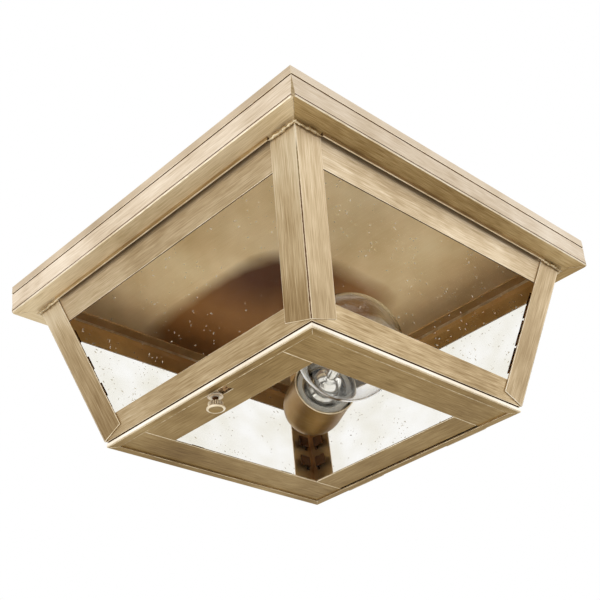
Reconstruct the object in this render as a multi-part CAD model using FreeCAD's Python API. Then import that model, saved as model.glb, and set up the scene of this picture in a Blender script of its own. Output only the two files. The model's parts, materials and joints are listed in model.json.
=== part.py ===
"""Porch ceiling lantern: a square brass canopy with a tapered, glazed cage under it and a glazed door below.

Units are millimetres, +Z is up and the ceiling is the plane z = 0. The origin is the middle of the crossbar's
upper face, where the lantern is fastened. The door hangs from two hinges at the back (+Y) and is held shut by
a thumb screw in the middle of its front bar (-Y). Heights below are counted down from the ceiling.
"""
import FreeCAD, Part
import math
import os

# ---------------------------------------------------------------- sheet, glass and fits
SHEET = 0.8                 # brass sheet of the canopy, the cage and the door's rim
STRIP_SHEET = 0.9           # brass strips of the door
GLASS = 2.3                 # seeded glass
SOLDER_GAP = 0.05           # room between pieces slid together before soldering
JOINT_GAP = 0.15            # room between pieces that move past each other
EDGE_BREAK = 0.35           # broken edge on folds and arrises
ARC_STEP = 9.0              # degrees between the rings of a turned curve

# ---------------------------------------------------------------- canopy
CANOPY_HALF = 120.65        # half of 9.5 in
PAN_DEPTH = 5.35            # the pan's upturned edge, ceiling to seam
PAN_FOLD = 0.55             # chamfer of the pan's lower fold
FASCIA_HEIGHT = 12.9        # moulding, seam to soffit
FASCIA_SET_BACK = 0.12      # moulding behind the pan's edge
MOULDING_FLANGE = 8.0       # moulding's upper flange, soldered under the pan
SOFFIT_EDGE = 1.0           # height of the soffit's own edge, below the fine groove
GROOVE_DEPTH = 0.35
GROOVE_HEIGHT = 0.25
LIP_INSET = 10.45           # canopy's edge to the soffit's turned-down lip
LIP_DROP = 2.15
SOLDER_FACET = 1.15         # how far solder fills back each corner at the soffit

# ---------------------------------------------------------------- cage
CAGE_HEIGHT = 87.45
CAGE_INSET = 12.23          # canopy's edge to the cage's faces at the soffit
CAGE_TAPER = 27.0           # how far each face leans in on its way down
POST_WIDTH = 17.5           # each flange of a corner angle
TOP_RAIL_DROP = 15.2        # soffit to the top rail's lower edge
TOP_RAIL_FLANGE = 8.0       # top rail's flange lying on the soffit
BOTTOM_RAIL_HEIGHT = 11.8
BOTTOM_RAIL_FLANGE = 7.0    # bottom rail's flange, carries the glass

# ---------------------------------------------------------------- side glass and its clips
GLASS_TOP_LAP = 9.0         # glass behind the top rail
GLASS_EDGE_INSET = 7.2      # glass edge to the cage's arris
CLIP_SHEET = 0.6
CLIP_LENGTH = 8.6           # along the post
CLIP_FOOT = 1.9             # soldered to the post's inner face
CLIP_REACH = 5.4            # over the glass
CLIP_HEIGHTS = (29.0, 47.0, 65.6)   # clip middles above the cage's lower edge, up the slope

# ---------------------------------------------------------------- door
DOOR_GAP = 0.8              # cage to door
DOOR_INSET = 0.92           # cage's lower edge to the door's rim
DOOR_WALL = 2.55            # side wall of the rim
RIM_LIP = 5.0               # rim's turned-in lip, wall included
STRIP_WIDTH = 21.3          # visible part of a strip, lip to window
FRONT_STRIP_GAP = 0.15      # front strip to the lip
BACK_STRIP_GAP = 1.2        # back strip to the lip
DOOR_GLASS_LAP = 9.8        # glass over the strips
SLOT_LEFT = 3.2             # front strip's open slot, from the screw's axis
SLOT_RIGHT = 11.0
SLOT_INSIDE = 2.4
DOOR_CLIP_OFFSET = 34.0

# ---------------------------------------------------------------- hinges
HINGE_LENGTH = 28.5
HINGE_INSET = 0.35          # hinge's end to the side strip
HINGE_MIDDLE = 13.3         # door's knuckle
HINGE_LEAF = 0.65
KNUCKLE_R = 1.65
PIN_R = 0.8
PIN_PRESS = 0.02            # pin in the cage's knuckles
PIN_RUN = 0.06              # pin in the door's knuckle
PIN_HEAD_R = 1.25
PIN_HEAD = 0.6
HINGE_DROP = 0.6            # pin below the cage's lower edge
CAGE_LEAF_HEIGHT = 9.0
LEAF_SWEEP = 0.2            # room between a leaf and the other leaf's knuckles

# ---------------------------------------------------------------- thumb screw and latch tab
SCREW_INSET = 9.5           # screw's axis to the rim's outer face
SCREW_R = 2.08              # 8-32 thread
SCREW_ROOM = 0.27           # hole in the tab, wide enough for the door's swing
SCREW_TIP_CHAMFER = 0.5
WASHER_R = 4.1
WASHER = 0.8
WASHER_FIT = 0.07
SHOULDER_R = 3.1
SHOULDER = 0.5
NECK_R = 1.5
NECK = 2.55
HEAD_R = 4.0
HEAD = 2.8
HEAD_FLUTES = 20
FLUTE = 0.3                 # depth of a flute of the knurled band
FLANGE_R = 4.95
FLANGE = 1.2
TAB_SHEET = 1.5
TAB_WIDTH = 14.0
TAB_LENGTH = 12.6
BOSS_R = 4.2
BOSS = 2.5

# ---------------------------------------------------------------- crossbar and middle nipple
BAR_END = 3.55              # metal past each slot
BAR_WIDTH = 20.0
BAR = 2.0
SLOT_SPACING = 88.9         # 3.5 in, ceiling box screws
SLOT_LENGTH = 16.0
SLOT_R = 2.5
NIPPLE_R = 5.14             # 1/8 in lamp pipe
NIPPLE_BORE_R = 3.6
NIPPLE_FIT = 0.05
NIPPLE_STICK_OUT = 1.2
NUT_ACROSS = 14.3
NUT = 3.4
GROUND_X = 20.0
GROUND_R = 2.0
GROUND_HEAD_R = 4.0
GROUND_HEAD = 1.5

# ---------------------------------------------------------------- socket and its strap
STRAP = 1.5
STRAP_WIDTH = 16.0
STRAP_FOOT_R = 10.5
SOCKET_TURN = -28.5         # the axis points to the front right
SOCKET_MOUTH = (-8.5, 22.0)
CUP_R = 18.25
CUP_SHEET = 0.8
CUP_ROUND = 17.0            # length of the round end
CUP_END_R = 9.6
CUP_BEAD = 0.45
HOLDER_R = 16.7
HOLDER_RECESS = 3.0         # porcelain below the cup's mouth
HOLDER_FLOOR = 3.5          # porcelain under the contact
SHELL_SHEET = 0.4
SHELL_LENGTH = 25.0
CONTACT = 0.5
CONTACT_R = 6.0

# ---------------------------------------------------------------- bulb, measured from the cup's mouth
BULB_R = 30.0
BULB_ROOM = 4.2             # globe to the door's glass
BULB_CENTRE = 45.0          # middle of the globe in front of the mouth
BULB_WALL = 0.7
BULB_NECK_R = 12.45
BULB_SWEEP = 45.0           # hollow curve from neck to globe
BULB_NECK_DEPTH = 9.0       # glass behind the mouth, in the cap
CAP_R = 13.1
CAP_SHEET = 0.3
CAP_TOP = 3.6               # cap's edge behind the mouth
CAP_LENGTH = 24.0
THREAD_PITCH = 3.63
THREAD_DEPTH = 0.7
THREAD_TURNS = 5
CAP_FIT = 0.1               # cap in the screw shell
FOOT_CONE = 4.6
EYELET_R = 4.7
EYELET = 1.4
STEM_R = 10.2
STEM_TOP_R = 3.2
STEM_FLARE = 3.0
STEM_CONE = 15.0
STEM_ROD = 11.0
LEAD_R = 0.35
LEAD_SPREAD = 11.0
LEAD_HEIGHT = 18.0
LEAD_START = 1.8
COIL_R = 0.55
COIL_SAG = 3.0

# ---------------------------------------------------------------- levels and shared sizes
LIP_HALF = CANOPY_HALF - LIP_INSET
CAGE_TOP_HALF = CANOPY_HALF - CAGE_INSET
CAGE_BOTTOM_HALF = CAGE_TOP_HALF - CAGE_TAPER
DOOR_HALF = CAGE_BOTTOM_HALF - DOOR_INSET
Z_PAN = -PAN_DEPTH
Z_SOFFIT = Z_PAN - FASCIA_HEIGHT
Z_CAGE = Z_SOFFIT - CAGE_HEIGHT
Z_DOOR_TOP = Z_CAGE - DOOR_GAP
Z_DOOR_FOOT = Z_DOOR_TOP - DOOR_WALL
Z_STRIP = Z_DOOR_FOOT + SHEET              # the strips lie on the rim's lip
Z_DOOR_GLASS = Z_STRIP + STRIP_SHEET
SLOPE = (CAGE_TOP_HALF - CAGE_BOTTOM_HALF) / CAGE_HEIGHT
TILT = math.atan(SLOPE)
WALL = SHEET / math.cos(TILT)              # a leaning sheet, measured level
MOULDING_HALF = CANOPY_HALF - FASCIA_SET_BACK
GLASS_FRONT = 2 * SHEET + SOLDER_GAP       # glass behind the cage's outer faces
GLASS_BACK = GLASS_FRONT + GLASS
CLIP_BACK = GLASS_BACK + SOLDER_GAP + CLIP_SHEET
LIP_INSIDE = DOOR_HALF - RIM_LIP
WINDOW_HALF = LIP_INSIDE - STRIP_WIDTH
DOOR_GLASS_HALF = WINDOW_HALF + DOOR_GLASS_LAP
HINGE_CENTRE = WINDOW_HALF - HINGE_INSET - HINGE_LENGTH / 2
HINGE_Y = DOOR_HALF + JOINT_GAP + LEAF_SWEEP + KNUCKLE_R
HINGE_Z = Z_CAGE - HINGE_DROP
SCREW_Y = SCREW_INSET - DOOR_HALF
TAB_Z = Z_CAGE + SHEET
BAR_HALF = SLOT_SPACING / 2 + SLOT_LENGTH / 2 + BAR_END
Z_AXIS = Z_DOOR_GLASS + GLASS + BULB_ROOM + BULB_R
SOCKET_DROP = Z_PAN - Z_AXIS
CAP_END = -CAP_TOP - CAP_LENGTH
FOOT_END = CAP_END - FOOT_CONE
EYELET_END = FOOT_END - EYELET
HOLDER_END = EYELET_END - CONTACT - HOLDER_FLOOR - NIPPLE_STICK_OUT
CUP_LENGTH = NUT + CUP_SHEET - HOLDER_END
CUP_STRAIGHT = CUP_LENGTH - CUP_ROUND
STRAP_Z = -CUP_LENGTH                      # strap behind the cup, along the socket's axis
SHELL_R = CAP_R + CAP_FIT + SHELL_SHEET
SHELL_END = -HOLDER_RECESS - SHELL_LENGTH

FAR = 400.0                                # larger than the lantern
UP = FreeCAD.Vector(0, 0, 1)
ORIGIN = FreeCAD.Vector(0, 0, 0)
SIDES = {"front": 0, "right": 90, "back": 180, "left": 270}
CORNERS = {"front_right": 0, "back_right": 90, "back_left": 180, "front_left": 270}


# ---------------------------------------------------------------- helpers
def cage_half(z):
    """Half width of the cage's outer faces at a height."""
    return CAGE_BOTTOM_HALF + SLOPE * (z - Z_CAGE)


def prism(points, along):
    """Solid from a flat outline, pushed along a vector."""
    corners = [FreeCAD.Vector(*point) for point in points]
    outline = Part.makePolygon(corners + corners[:1])
    return Part.Face(outline).extrude(FreeCAD.Vector(*along))


def block(low, high):
    size = [b - a for a, b in zip(low, high)]
    return Part.makeBox(size[0], size[1], size[2], FreeCAD.Vector(*low))


def rod(radius, low, high, x=0.0, y=0.0):
    return Part.makeCylinder(radius, high - low, FreeCAD.Vector(x, y, low), UP)


def rod_x(radius, low, high, y, z):
    return Part.makeCylinder(radius, high - low, FreeCAD.Vector(low, y, z), FreeCAD.Vector(1, 0, 0))


def turned(points):
    """Solid of revolution about Z from (radius, height) corners."""
    corners = [FreeCAD.Vector(r, 0, z) for r, z in points]
    return Part.Face(Part.makePolygon(corners + corners[:1])).revolve(ORIGIN, UP, 360)


def bend(centre, radius, start, end, step=ARC_STEP):
    """(radius, height) points round an arc, in steps fine enough to stay within a tenth of a millimetre."""
    count = math.ceil(abs(end - start) / step)
    angles = [math.radians(start + (end - start) * index / count) for index in range(count + 1)]
    return [(centre[0] + radius * math.cos(a), centre[1] + radius * math.sin(a)) for a in angles]


def turn_about_z(shape, degrees):
    result = shape.copy()
    result.rotate(ORIGIN, UP, degrees)
    return result


def beyond(point, direction):
    """Everything on the far side of a plane."""
    half = Part.makeBox(FAR, FAR, FAR, FreeCAD.Vector(-FAR / 2, -FAR / 2, 0))
    half.Placement = FreeCAD.Placement(point, FreeCAD.Rotation(UP, direction))
    return half


def mitre(shape):
    """Cut a front bar back to the two diagonals."""
    wedge = prism([(0, 0, -FAR / 2), (-FAR, -FAR, -FAR / 2), (FAR, -FAR, -FAR / 2)], (0, 0, FAR))
    return shape.common(wedge)


def front_bar(profile):
    """Mitred bar on the front side, from (distance out, height) corners."""
    length = 2 * CANOPY_HALF
    points = [(-length / 2, -out, z) for out, z in profile]
    return mitre(prism(points, (length, 0, 0)))


def on_front_slope(shape):
    """Place a shape drawn flat (X along, Y up the slope, Z outwards) on the cage's front face."""
    lean = FreeCAD.Rotation(FreeCAD.Vector(1, 0, 0), 90 + math.degrees(TILT))
    result = shape.copy()
    result.Placement = FreeCAD.Placement(FreeCAD.Vector(0, -CAGE_BOTTOM_HALF, Z_CAGE), lean)
    return result


def on_socket_axis(shape):
    """Place a shape drawn with its axis on Z and the cup's mouth at z = 0."""
    turn = math.radians(SOCKET_TURN)
    axis = FreeCAD.Vector(math.cos(turn), math.sin(turn), 0)
    across = UP.cross(axis)
    place = FreeCAD.Matrix(across.x, UP.x, axis.x, SOCKET_MOUTH[0], across.y, UP.y, axis.y, SOCKET_MOUTH[1],
                           across.z, UP.z, axis.z, Z_AXIS, 0, 0, 0, 1)
    result = shape.copy()
    result.Placement = FreeCAD.Placement(place)
    return result


def hex_nut(low, high, bore):
    radius = NUT_ACROSS / math.sqrt(3)
    corners = [(radius * math.cos(math.radians(a)), radius * math.sin(math.radians(a)), low)
               for a in range(0, 360, 60)]
    crown = turned([(0, low), (NUT_ACROSS / 2, low), (radius, low + radius - NUT_ACROSS / 2),
                    (radius, high), (0, high)])
    return prism(corners, (0, 0, high - low)).common(crown).cut(rod(bore, low - 1, high + 1))


def save(name, *solids):
    shape = solids[0] if len(solids) == 1 else Part.makeCompound(list(solids))
    shape.exportStep(f"parts/{name}.step")


# ---------------------------------------------------------------- canopy
def ceiling_pan():
    """Shallow tray whose upturned edge meets the ceiling."""
    outer = CANOPY_HALF
    fold = CANOPY_HALF - PAN_FOLD
    body = Part.makeLoft([square(fold, Z_PAN), square(outer, Z_PAN + PAN_FOLD)], True, True)
    body = body.fuse(block((-outer, -outer, Z_PAN + PAN_FOLD), (outer, outer, 0)))
    inner = outer - SHEET
    hollow = block((-inner, -inner, Z_PAN + SHEET), (inner, inner, 1))
    return body.cut(hollow).cut(rod(NIPPLE_R + NIPPLE_FIT, Z_PAN - 1, 1)).removeSplitter()


def square(half, z):
    corners = [(half, half), (-half, half), (-half, -half), (half, -half), (half, half)]
    return Part.makePolygon([FreeCAD.Vector(x, y, z) for x, y in corners])


def canopy_moulding():
    """Fascia and soffit in one folded strip, with a fine groove above the soffit's edge."""
    out = MOULDING_HALF
    inside = out - SHEET
    groove_low = Z_SOFFIT + SOFFIT_EDGE
    groove_high = groove_low + GROOVE_HEIGHT
    soffit_in = LIP_HALF - SHEET
    profile = [(out - MOULDING_FLANGE, Z_PAN), (out - EDGE_BREAK, Z_PAN), (out, Z_PAN - EDGE_BREAK),
               (out, groove_high + GROOVE_DEPTH), (out - GROOVE_DEPTH, groove_high),
               (out - GROOVE_DEPTH, groove_low), (out, groove_low), (out, Z_SOFFIT + EDGE_BREAK),
               (out - EDGE_BREAK, Z_SOFFIT), (soffit_in, Z_SOFFIT), (soffit_in, Z_SOFFIT + SHEET),
               (inside, Z_SOFFIT + SHEET), (inside, Z_PAN - SHEET), (out - MOULDING_FLANGE, Z_PAN - SHEET)]
    bar = front_bar(profile)
    lip_end = CAGE_TOP_HALF - POST_WIDTH - JOINT_GAP
    lip = block((-lip_end, -LIP_HALF, Z_SOFFIT - LIP_DROP), (lip_end, -soffit_in, Z_SOFFIT))
    ear_in = cage_half(Z_SOFFIT + SHEET) - WALL + SOLDER_GAP
    ears = block((-CANOPY_HALF, -soffit_in, Z_SOFFIT), (CANOPY_HALF, -ear_in, Z_SOFFIT + SHEET))
    ears = ears.cut(block((-lip_end, -FAR, -FAR), (lip_end, FAR, FAR)))
    bar = bar.fuse([lip, mitre(ears)])
    return bar.cut(solder_facets()).removeSplitter()


def solder_facets():
    """What the solder-filled corners take off the moulding: nothing at the seam, most at the soffit."""
    lean = math.atan(SOLDER_FACET / FASCIA_HEIGHT)
    tools = []
    for side in (-1, 1):
        top = FreeCAD.Vector(side * MOULDING_HALF, -MOULDING_HALF, Z_PAN)
        away = FreeCAD.Vector(side, -1, 0).normalize() * math.cos(lean) - UP * math.sin(lean)
        tools.append(beyond(top, away))
    return tools


# ---------------------------------------------------------------- cage
def corner_post():
    """Brass angle at the front right corner, its foot cut square to the arris."""
    start = Z_CAGE - POST_WIDTH
    low = cage_half(start)
    rise = Z_SOFFIT - start
    run = SLOPE * rise
    inner = low - POST_WIDTH
    wall = low - WALL
    section = [(low, EDGE_BREAK - low), (low - EDGE_BREAK, -low), (inner, -low), (inner, -wall),
               (wall, -wall), (wall, -inner), (low, -inner)]
    angle = prism([(x, y, start) for x, y in section], (run, -run, rise))
    foot = FreeCAD.Vector(CAGE_BOTTOM_HALF, -CAGE_BOTTOM_HALF, Z_CAGE)
    arris = FreeCAD.Vector(SLOPE, -SLOPE, 1).normalize()
    return angle.common(beyond(foot, arris))


def top_rail():
    """Leaning strip under the soffit, hung from it by a flange."""
    low = Z_SOFFIT - TOP_RAIL_DROP
    seat = Z_SOFFIT + SHEET
    top = seat + SHEET
    flange_end = cage_half(seat) + TOP_RAIL_FLANGE
    profile = [(cage_half(low) - WALL, low), (cage_half(seat) - WALL, seat), (flange_end, seat),
               (flange_end, top), (cage_half(top) - 2 * WALL, top), (cage_half(low) - 2 * WALL, low)]
    return front_bar(profile)


def bottom_rail():
    """Leaning strip at the foot of the cage, with a flange turned in under the glass."""
    top = Z_CAGE + BOTTOM_RAIL_HEIGHT
    seat = Z_CAGE + SHEET
    flange_end = cage_half(Z_CAGE) - WALL - BOTTOM_RAIL_FLANGE
    profile = [(cage_half(top) - WALL, top), (cage_half(Z_CAGE) - WALL, Z_CAGE), (flange_end, Z_CAGE),
               (flange_end, seat), (cage_half(seat) - 2 * WALL, seat), (cage_half(top) - 2 * WALL, top)]
    return front_bar(profile)


def side_glass():
    """Tapered pane standing on the bottom rail's flange."""
    low = (SHEET + SOLDER_GAP - GLASS_FRONT * math.sin(TILT)) / math.cos(TILT)
    high = (CAGE_HEIGHT - TOP_RAIL_DROP + GLASS_TOP_LAP) / math.cos(TILT)
    taper = math.sin(TILT)
    wide_low = CAGE_BOTTOM_HALF + taper * low - GLASS_EDGE_INSET
    wide_high = CAGE_BOTTOM_HALF + taper * high - GLASS_EDGE_INSET
    outline = [(-wide_low, low), (wide_low, low), (wide_high, high), (-wide_high, high)]
    pane = prism([(x, y, -GLASS_FRONT) for x, y in outline], (0, 0, -GLASS))
    return on_front_slope(pane)


def glass_clips():
    """Small folded clips behind the posts, holding the four panes."""
    clips = []
    taper = math.sin(TILT)
    riser = GLASS_EDGE_INSET - SOLDER_GAP
    finger = riser + CLIP_REACH
    foot = riser - CLIP_FOOT
    section = [(foot, SHEET), (riser, SHEET), (riser, GLASS_BACK + SOLDER_GAP),
               (finger, GLASS_BACK + SOLDER_GAP), (finger, CLIP_BACK), (riser - CLIP_SHEET, CLIP_BACK),
               (riser - CLIP_SHEET, SHEET + CLIP_SHEET), (foot, SHEET + CLIP_SHEET)]
    for height in CLIP_HEIGHTS:
        start = height - CLIP_LENGTH / 2
        edge = CAGE_BOTTOM_HALF + taper * start
        for side in (-1, 1):
            points = [(side * (edge - u), start, -depth) for u, depth in section]
            clip = on_front_slope(prism(points, (side * taper * CLIP_LENGTH, CLIP_LENGTH, 0)))
            clips += [turn_about_z(clip, degrees) for degrees in SIDES.values()]
    return clips


# ---------------------------------------------------------------- door
def door_rim():
    """Shallow mitred angle: the door's side wall and its turned-in lip."""
    inside = DOOR_HALF - SHEET
    profile = [(inside, Z_DOOR_TOP), (DOOR_HALF - EDGE_BREAK / 2, Z_DOOR_TOP),
               (DOOR_HALF, Z_DOOR_TOP - EDGE_BREAK / 2), (DOOR_HALF, Z_DOOR_FOOT + EDGE_BREAK),
               (DOOR_HALF - EDGE_BREAK, Z_DOOR_FOOT), (LIP_INSIDE, Z_DOOR_FOOT), (LIP_INSIDE, Z_STRIP),
               (inside, Z_STRIP)]
    return front_bar(profile)


def side_door_strip():
    """Flat strip on the rim's lip, full length."""
    outer = DOOR_HALF - SHEET - SOLDER_GAP
    return block((-outer, -outer, Z_STRIP), (outer, -WINDOW_HALF, Z_DOOR_GLASS))


def cross_door_strip(gap):
    """Flat strip butted between the side ones, short of the rim's lip."""
    half = WINDOW_HALF - SOLDER_GAP
    return block((-half, gap - LIP_INSIDE, Z_STRIP), (half, -WINDOW_HALF, Z_DOOR_GLASS))


def front_door_strip():
    """Front strip, with an open slot for the thumb screw."""
    slot = block((-SLOT_LEFT, -DOOR_HALF, Z_STRIP - 1), (SLOT_RIGHT, SCREW_Y + SLOT_INSIDE, Z_DOOR_GLASS + 1))
    return cross_door_strip(FRONT_STRIP_GAP).cut(slot)


def door_glass():
    half = DOOR_GLASS_HALF
    return block((-half, -half, Z_DOOR_GLASS), (half, half, Z_DOOR_GLASS + GLASS))


def door_glass_clips():
    """Folded clips on the side strips, over the door's glass."""
    clips = []
    seat = Z_DOOR_GLASS
    over = seat + GLASS + SOLDER_GAP
    edge = DOOR_GLASS_HALF + SOLDER_GAP
    section = [(edge + CLIP_FOOT, seat), (edge, seat), (edge, over), (edge - CLIP_REACH, over),
               (edge - CLIP_REACH, over + CLIP_SHEET), (edge + CLIP_SHEET, over + CLIP_SHEET),
               (edge + CLIP_SHEET, seat + CLIP_SHEET), (edge + CLIP_FOOT, seat + CLIP_SHEET)]
    for side in (-1, 1):
        for offset in (-DOOR_CLIP_OFFSET, DOOR_CLIP_OFFSET):
            points = [(side * x, offset - CLIP_LENGTH / 2, z) for x, z in section]
            clips.append(prism(points, (0, CLIP_LENGTH, 0)))
    return clips


# ---------------------------------------------------------------- hinges
def hinge_zones(centre):
    """Ends of the cage's two knuckles and of the door's middle one."""
    low = centre - HINGE_LENGTH / 2
    high = centre + HINGE_LENGTH / 2
    middle = HINGE_MIDDLE / 2
    outer = [(low, centre - middle - JOINT_GAP / 2), (centre + middle + JOINT_GAP / 2, high)]
    return outer, (centre - middle + JOINT_GAP / 2, centre + middle - JOINT_GAP / 2)


def cage_hinge_leaf(centre):
    """Leaf soldered to the outside of the back rail, with two knuckles."""
    outer, middle = hinge_zones(centre)
    half = HINGE_LENGTH / 2
    low = 0
    high = CAGE_LEAF_HEIGHT
    plate = block((-half, low, -SHEET), (half, high, HINGE_LEAF - SHEET))
    plate = turn_about_z(on_front_slope(plate), SIDES["back"])
    plate.translate(FreeCAD.Vector(centre, 0, 0))
    plate = plate.cut(rod_x(KNUCKLE_R + LEAF_SWEEP, middle[0] - JOINT_GAP, middle[1] + JOINT_GAP,
                            HINGE_Y, HINGE_Z))
    knuckles = [rod_x(KNUCKLE_R, low_x, high_x, HINGE_Y, HINGE_Z) for low_x, high_x in outer]
    leaf = plate.fuse(knuckles)
    return leaf.cut(rod_x(PIN_R + PIN_PRESS, centre - half - 1, centre + half + 1, HINGE_Y, HINGE_Z))


def door_hinge_leaf(centre):
    """Leaf folded over the door's side wall, with the middle knuckle."""
    outer, middle = hinge_zones(centre)
    half = HINGE_LENGTH / 2
    inside = DOOR_HALF - SHEET - HINGE_LEAF
    top = Z_DOOR_TOP + HINGE_LEAF
    flat = block((centre - half, inside, Z_DOOR_TOP), (centre + half, HINGE_Y, top))
    hook = block((centre - half, inside, Z_STRIP), (centre + half, DOOR_HALF - SHEET, Z_DOOR_TOP))
    leaf = flat.fuse(hook)
    for low_x, high_x in outer:
        sweep = rod_x(KNUCKLE_R + LEAF_SWEEP, low_x - JOINT_GAP, high_x + JOINT_GAP, HINGE_Y, HINGE_Z)
        leaf = leaf.cut(sweep)
    leaf = leaf.fuse(rod_x(KNUCKLE_R, middle[0], middle[1], HINGE_Y, HINGE_Z))
    return leaf.cut(rod_x(PIN_R + PIN_RUN, centre - half - 1, centre + half + 1, HINGE_Y, HINGE_Z))


def hinge_pin(centre):
    """Pin with both ends riveted over."""
    half = HINGE_LENGTH / 2
    pin = rod_x(PIN_R, centre - half, centre + half, HINGE_Y, HINGE_Z)
    ends = [rod_x(PIN_HEAD_R, centre - half - PIN_HEAD, centre - half, HINGE_Y, HINGE_Z),
            rod_x(PIN_HEAD_R, centre + half, centre + half + PIN_HEAD, HINGE_Y, HINGE_Z)]
    return pin.fuse(ends)


# ---------------------------------------------------------------- latch
def latch_tab():
    """Tab on the front rail's flange, with a threaded boss for the screw."""
    high = TAB_Z + TAB_SHEET
    outer = cage_half(TAB_Z) - GLASS_BACK / math.cos(TILT) - JOINT_GAP
    plate = block((-TAB_WIDTH / 2, -outer, TAB_Z), (TAB_WIDTH / 2, TAB_LENGTH - outer, high))
    boss = rod(BOSS_R, high, high + BOSS, 0, SCREW_Y)
    return plate.fuse(boss).cut(rod(SCREW_R + SCREW_ROOM, TAB_Z - 1, high + BOSS + 1, 0, SCREW_Y))


def screw_washer():
    ring = rod(WASHER_R, Z_STRIP - WASHER, Z_STRIP, 0, SCREW_Y)
    return ring.cut(rod(SCREW_R + WASHER_FIT, Z_STRIP - WASHER - 1, Z_STRIP + 1, 0, SCREW_Y))


def thumb_screw():
    """Turned screw: shank, shoulder, thin neck, knurled head and a wider rim."""
    tip = TAB_Z + TAB_SHEET + BOSS - SCREW_TIP_CHAMFER
    shoulder = Z_STRIP - WASHER
    neck = shoulder - SHOULDER
    head = neck - NECK
    flange = head - HEAD
    end = flange - FLANGE
    body = turned([(0, tip), (SCREW_R - SCREW_TIP_CHAMFER, tip), (SCREW_R, tip - SCREW_TIP_CHAMFER),
                   (SCREW_R, shoulder), (SHOULDER_R, shoulder), (SHOULDER_R, neck), (NECK_R, neck),
                   (NECK_R, head), (HEAD_R - EDGE_BREAK, head), (HEAD_R, head - EDGE_BREAK),
                   (HEAD_R, flange), (FLANGE_R, flange - EDGE_BREAK), (FLANGE_R, end + EDGE_BREAK),
                   (FLANGE_R - 2 * EDGE_BREAK, end), (0, end)])
    flute = prism([(HEAD_R - FLUTE, 0, flange), (HEAD_R + FLUTE, -2 * FLUTE, flange),
                   (HEAD_R + FLUTE, 2 * FLUTE, flange)], (0, 0, HEAD + 1))
    body = body.cut([turn_about_z(flute, 360 * index / HEAD_FLUTES) for index in range(HEAD_FLUTES)])
    body.translate(FreeCAD.Vector(0, SCREW_Y, 0))
    return body


# ---------------------------------------------------------------- crossbar and middle nipple
def crossbar():
    """Flat bar against the ceiling box, with a slot for each box screw."""
    bar = block((-BAR_HALF, -BAR_WIDTH / 2, -BAR), (BAR_HALF, BAR_WIDTH / 2, 0))
    holes = [rod(NIPPLE_R + NIPPLE_FIT, -BAR - 1, 1), rod(GROUND_R + NIPPLE_FIT, -BAR - 1, 1, GROUND_X)]
    bar = bar.cut(holes)
    reach = SLOT_LENGTH / 2 - SLOT_R
    for middle in (-SLOT_SPACING / 2, SLOT_SPACING / 2):
        slot = block((middle - reach, -SLOT_R, -BAR - 1), (middle + reach, SLOT_R, 1))
        ends = [rod(SLOT_R, -BAR - 1, 1, middle - reach), rod(SLOT_R, -BAR - 1, 1, middle + reach)]
        bar = bar.cut(slot.fuse(ends))
    return bar


def ground_screw():
    shank = rod(GROUND_R, -BAR, 0, GROUND_X)
    head = rod(GROUND_HEAD_R, -BAR - GROUND_HEAD, -BAR, GROUND_X)
    slot = block((GROUND_X - GROUND_HEAD_R, -CONTACT, -BAR - GROUND_HEAD - 1),
                 (GROUND_X + GROUND_HEAD_R, CONTACT, -BAR - GROUND_HEAD / 2))
    return shank.fuse(head).cut(slot)


def middle_nipple():
    """Hollow lamp pipe through the crossbar, the pan and the strap's foot; the wires pass down it."""
    low = Z_PAN - STRAP - NUT - NIPPLE_STICK_OUT
    return rod(NIPPLE_R, low, 0).cut(rod(NIPPLE_BORE_R, low - 1, 1))


def spacer_nut():
    return hex_nut(Z_PAN + SHEET, -BAR, NIPPLE_R + NIPPLE_FIT)


def lock_nut():
    top = Z_PAN - STRAP
    return hex_nut(top - NUT, top, NIPPLE_R + NIPPLE_FIT)


# ---------------------------------------------------------------- socket, drawn along its own axis
def foot_place():
    """The pan's middle in the socket's own frame: across the axis and along it."""
    turn = math.radians(SOCKET_TURN)
    across = -SOCKET_MOUTH[0] * -math.sin(turn) - SOCKET_MOUTH[1] * math.cos(turn)
    along = -SOCKET_MOUTH[0] * math.cos(turn) - SOCKET_MOUTH[1] * math.sin(turn)
    return across, along


def socket_strap():
    """Folded strap: a foot under the pan and a drop leg behind the cup."""
    half = STRAP_WIDTH / 2
    back = STRAP_Z - STRAP
    top = SOCKET_DROP
    leg = block((-half, 0, back), (half, top, STRAP_Z)).fuse(rod(half, back, STRAP_Z))
    across, along = foot_place()
    arm = prism([(-half, top, back), (half, top, back), (across + STRAP_FOOT_R, top, along),
                 (across - STRAP_FOOT_R, top, along)], (0, -STRAP, 0))
    down = FreeCAD.Vector(0, -1, 0)
    bore = NIPPLE_R + NIPPLE_FIT
    foot = Part.makeCylinder(STRAP_FOOT_R, STRAP, FreeCAD.Vector(across, top, along), down)
    hole = Part.makeCylinder(bore, 3 * STRAP, FreeCAD.Vector(across, top + STRAP, along), down)
    strap = leg.fuse([arm, foot]).cut([hole, rod(bore, back - 1, STRAP_Z + 1)])
    return strap.removeSplitter()


def cup_knee(inset):
    """Round end of the cup from its straight side to its flat back, moved in by a wall."""
    rise = CUP_LENGTH - CUP_STRAIGHT
    run = CUP_R - CUP_END_R
    radius = (rise ** 2 + run ** 2) / (2 * run)
    sweep = math.degrees(math.asin(rise / radius))
    return bend((CUP_R - radius, -CUP_STRAIGHT), radius - inset, 0, -sweep)


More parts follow.
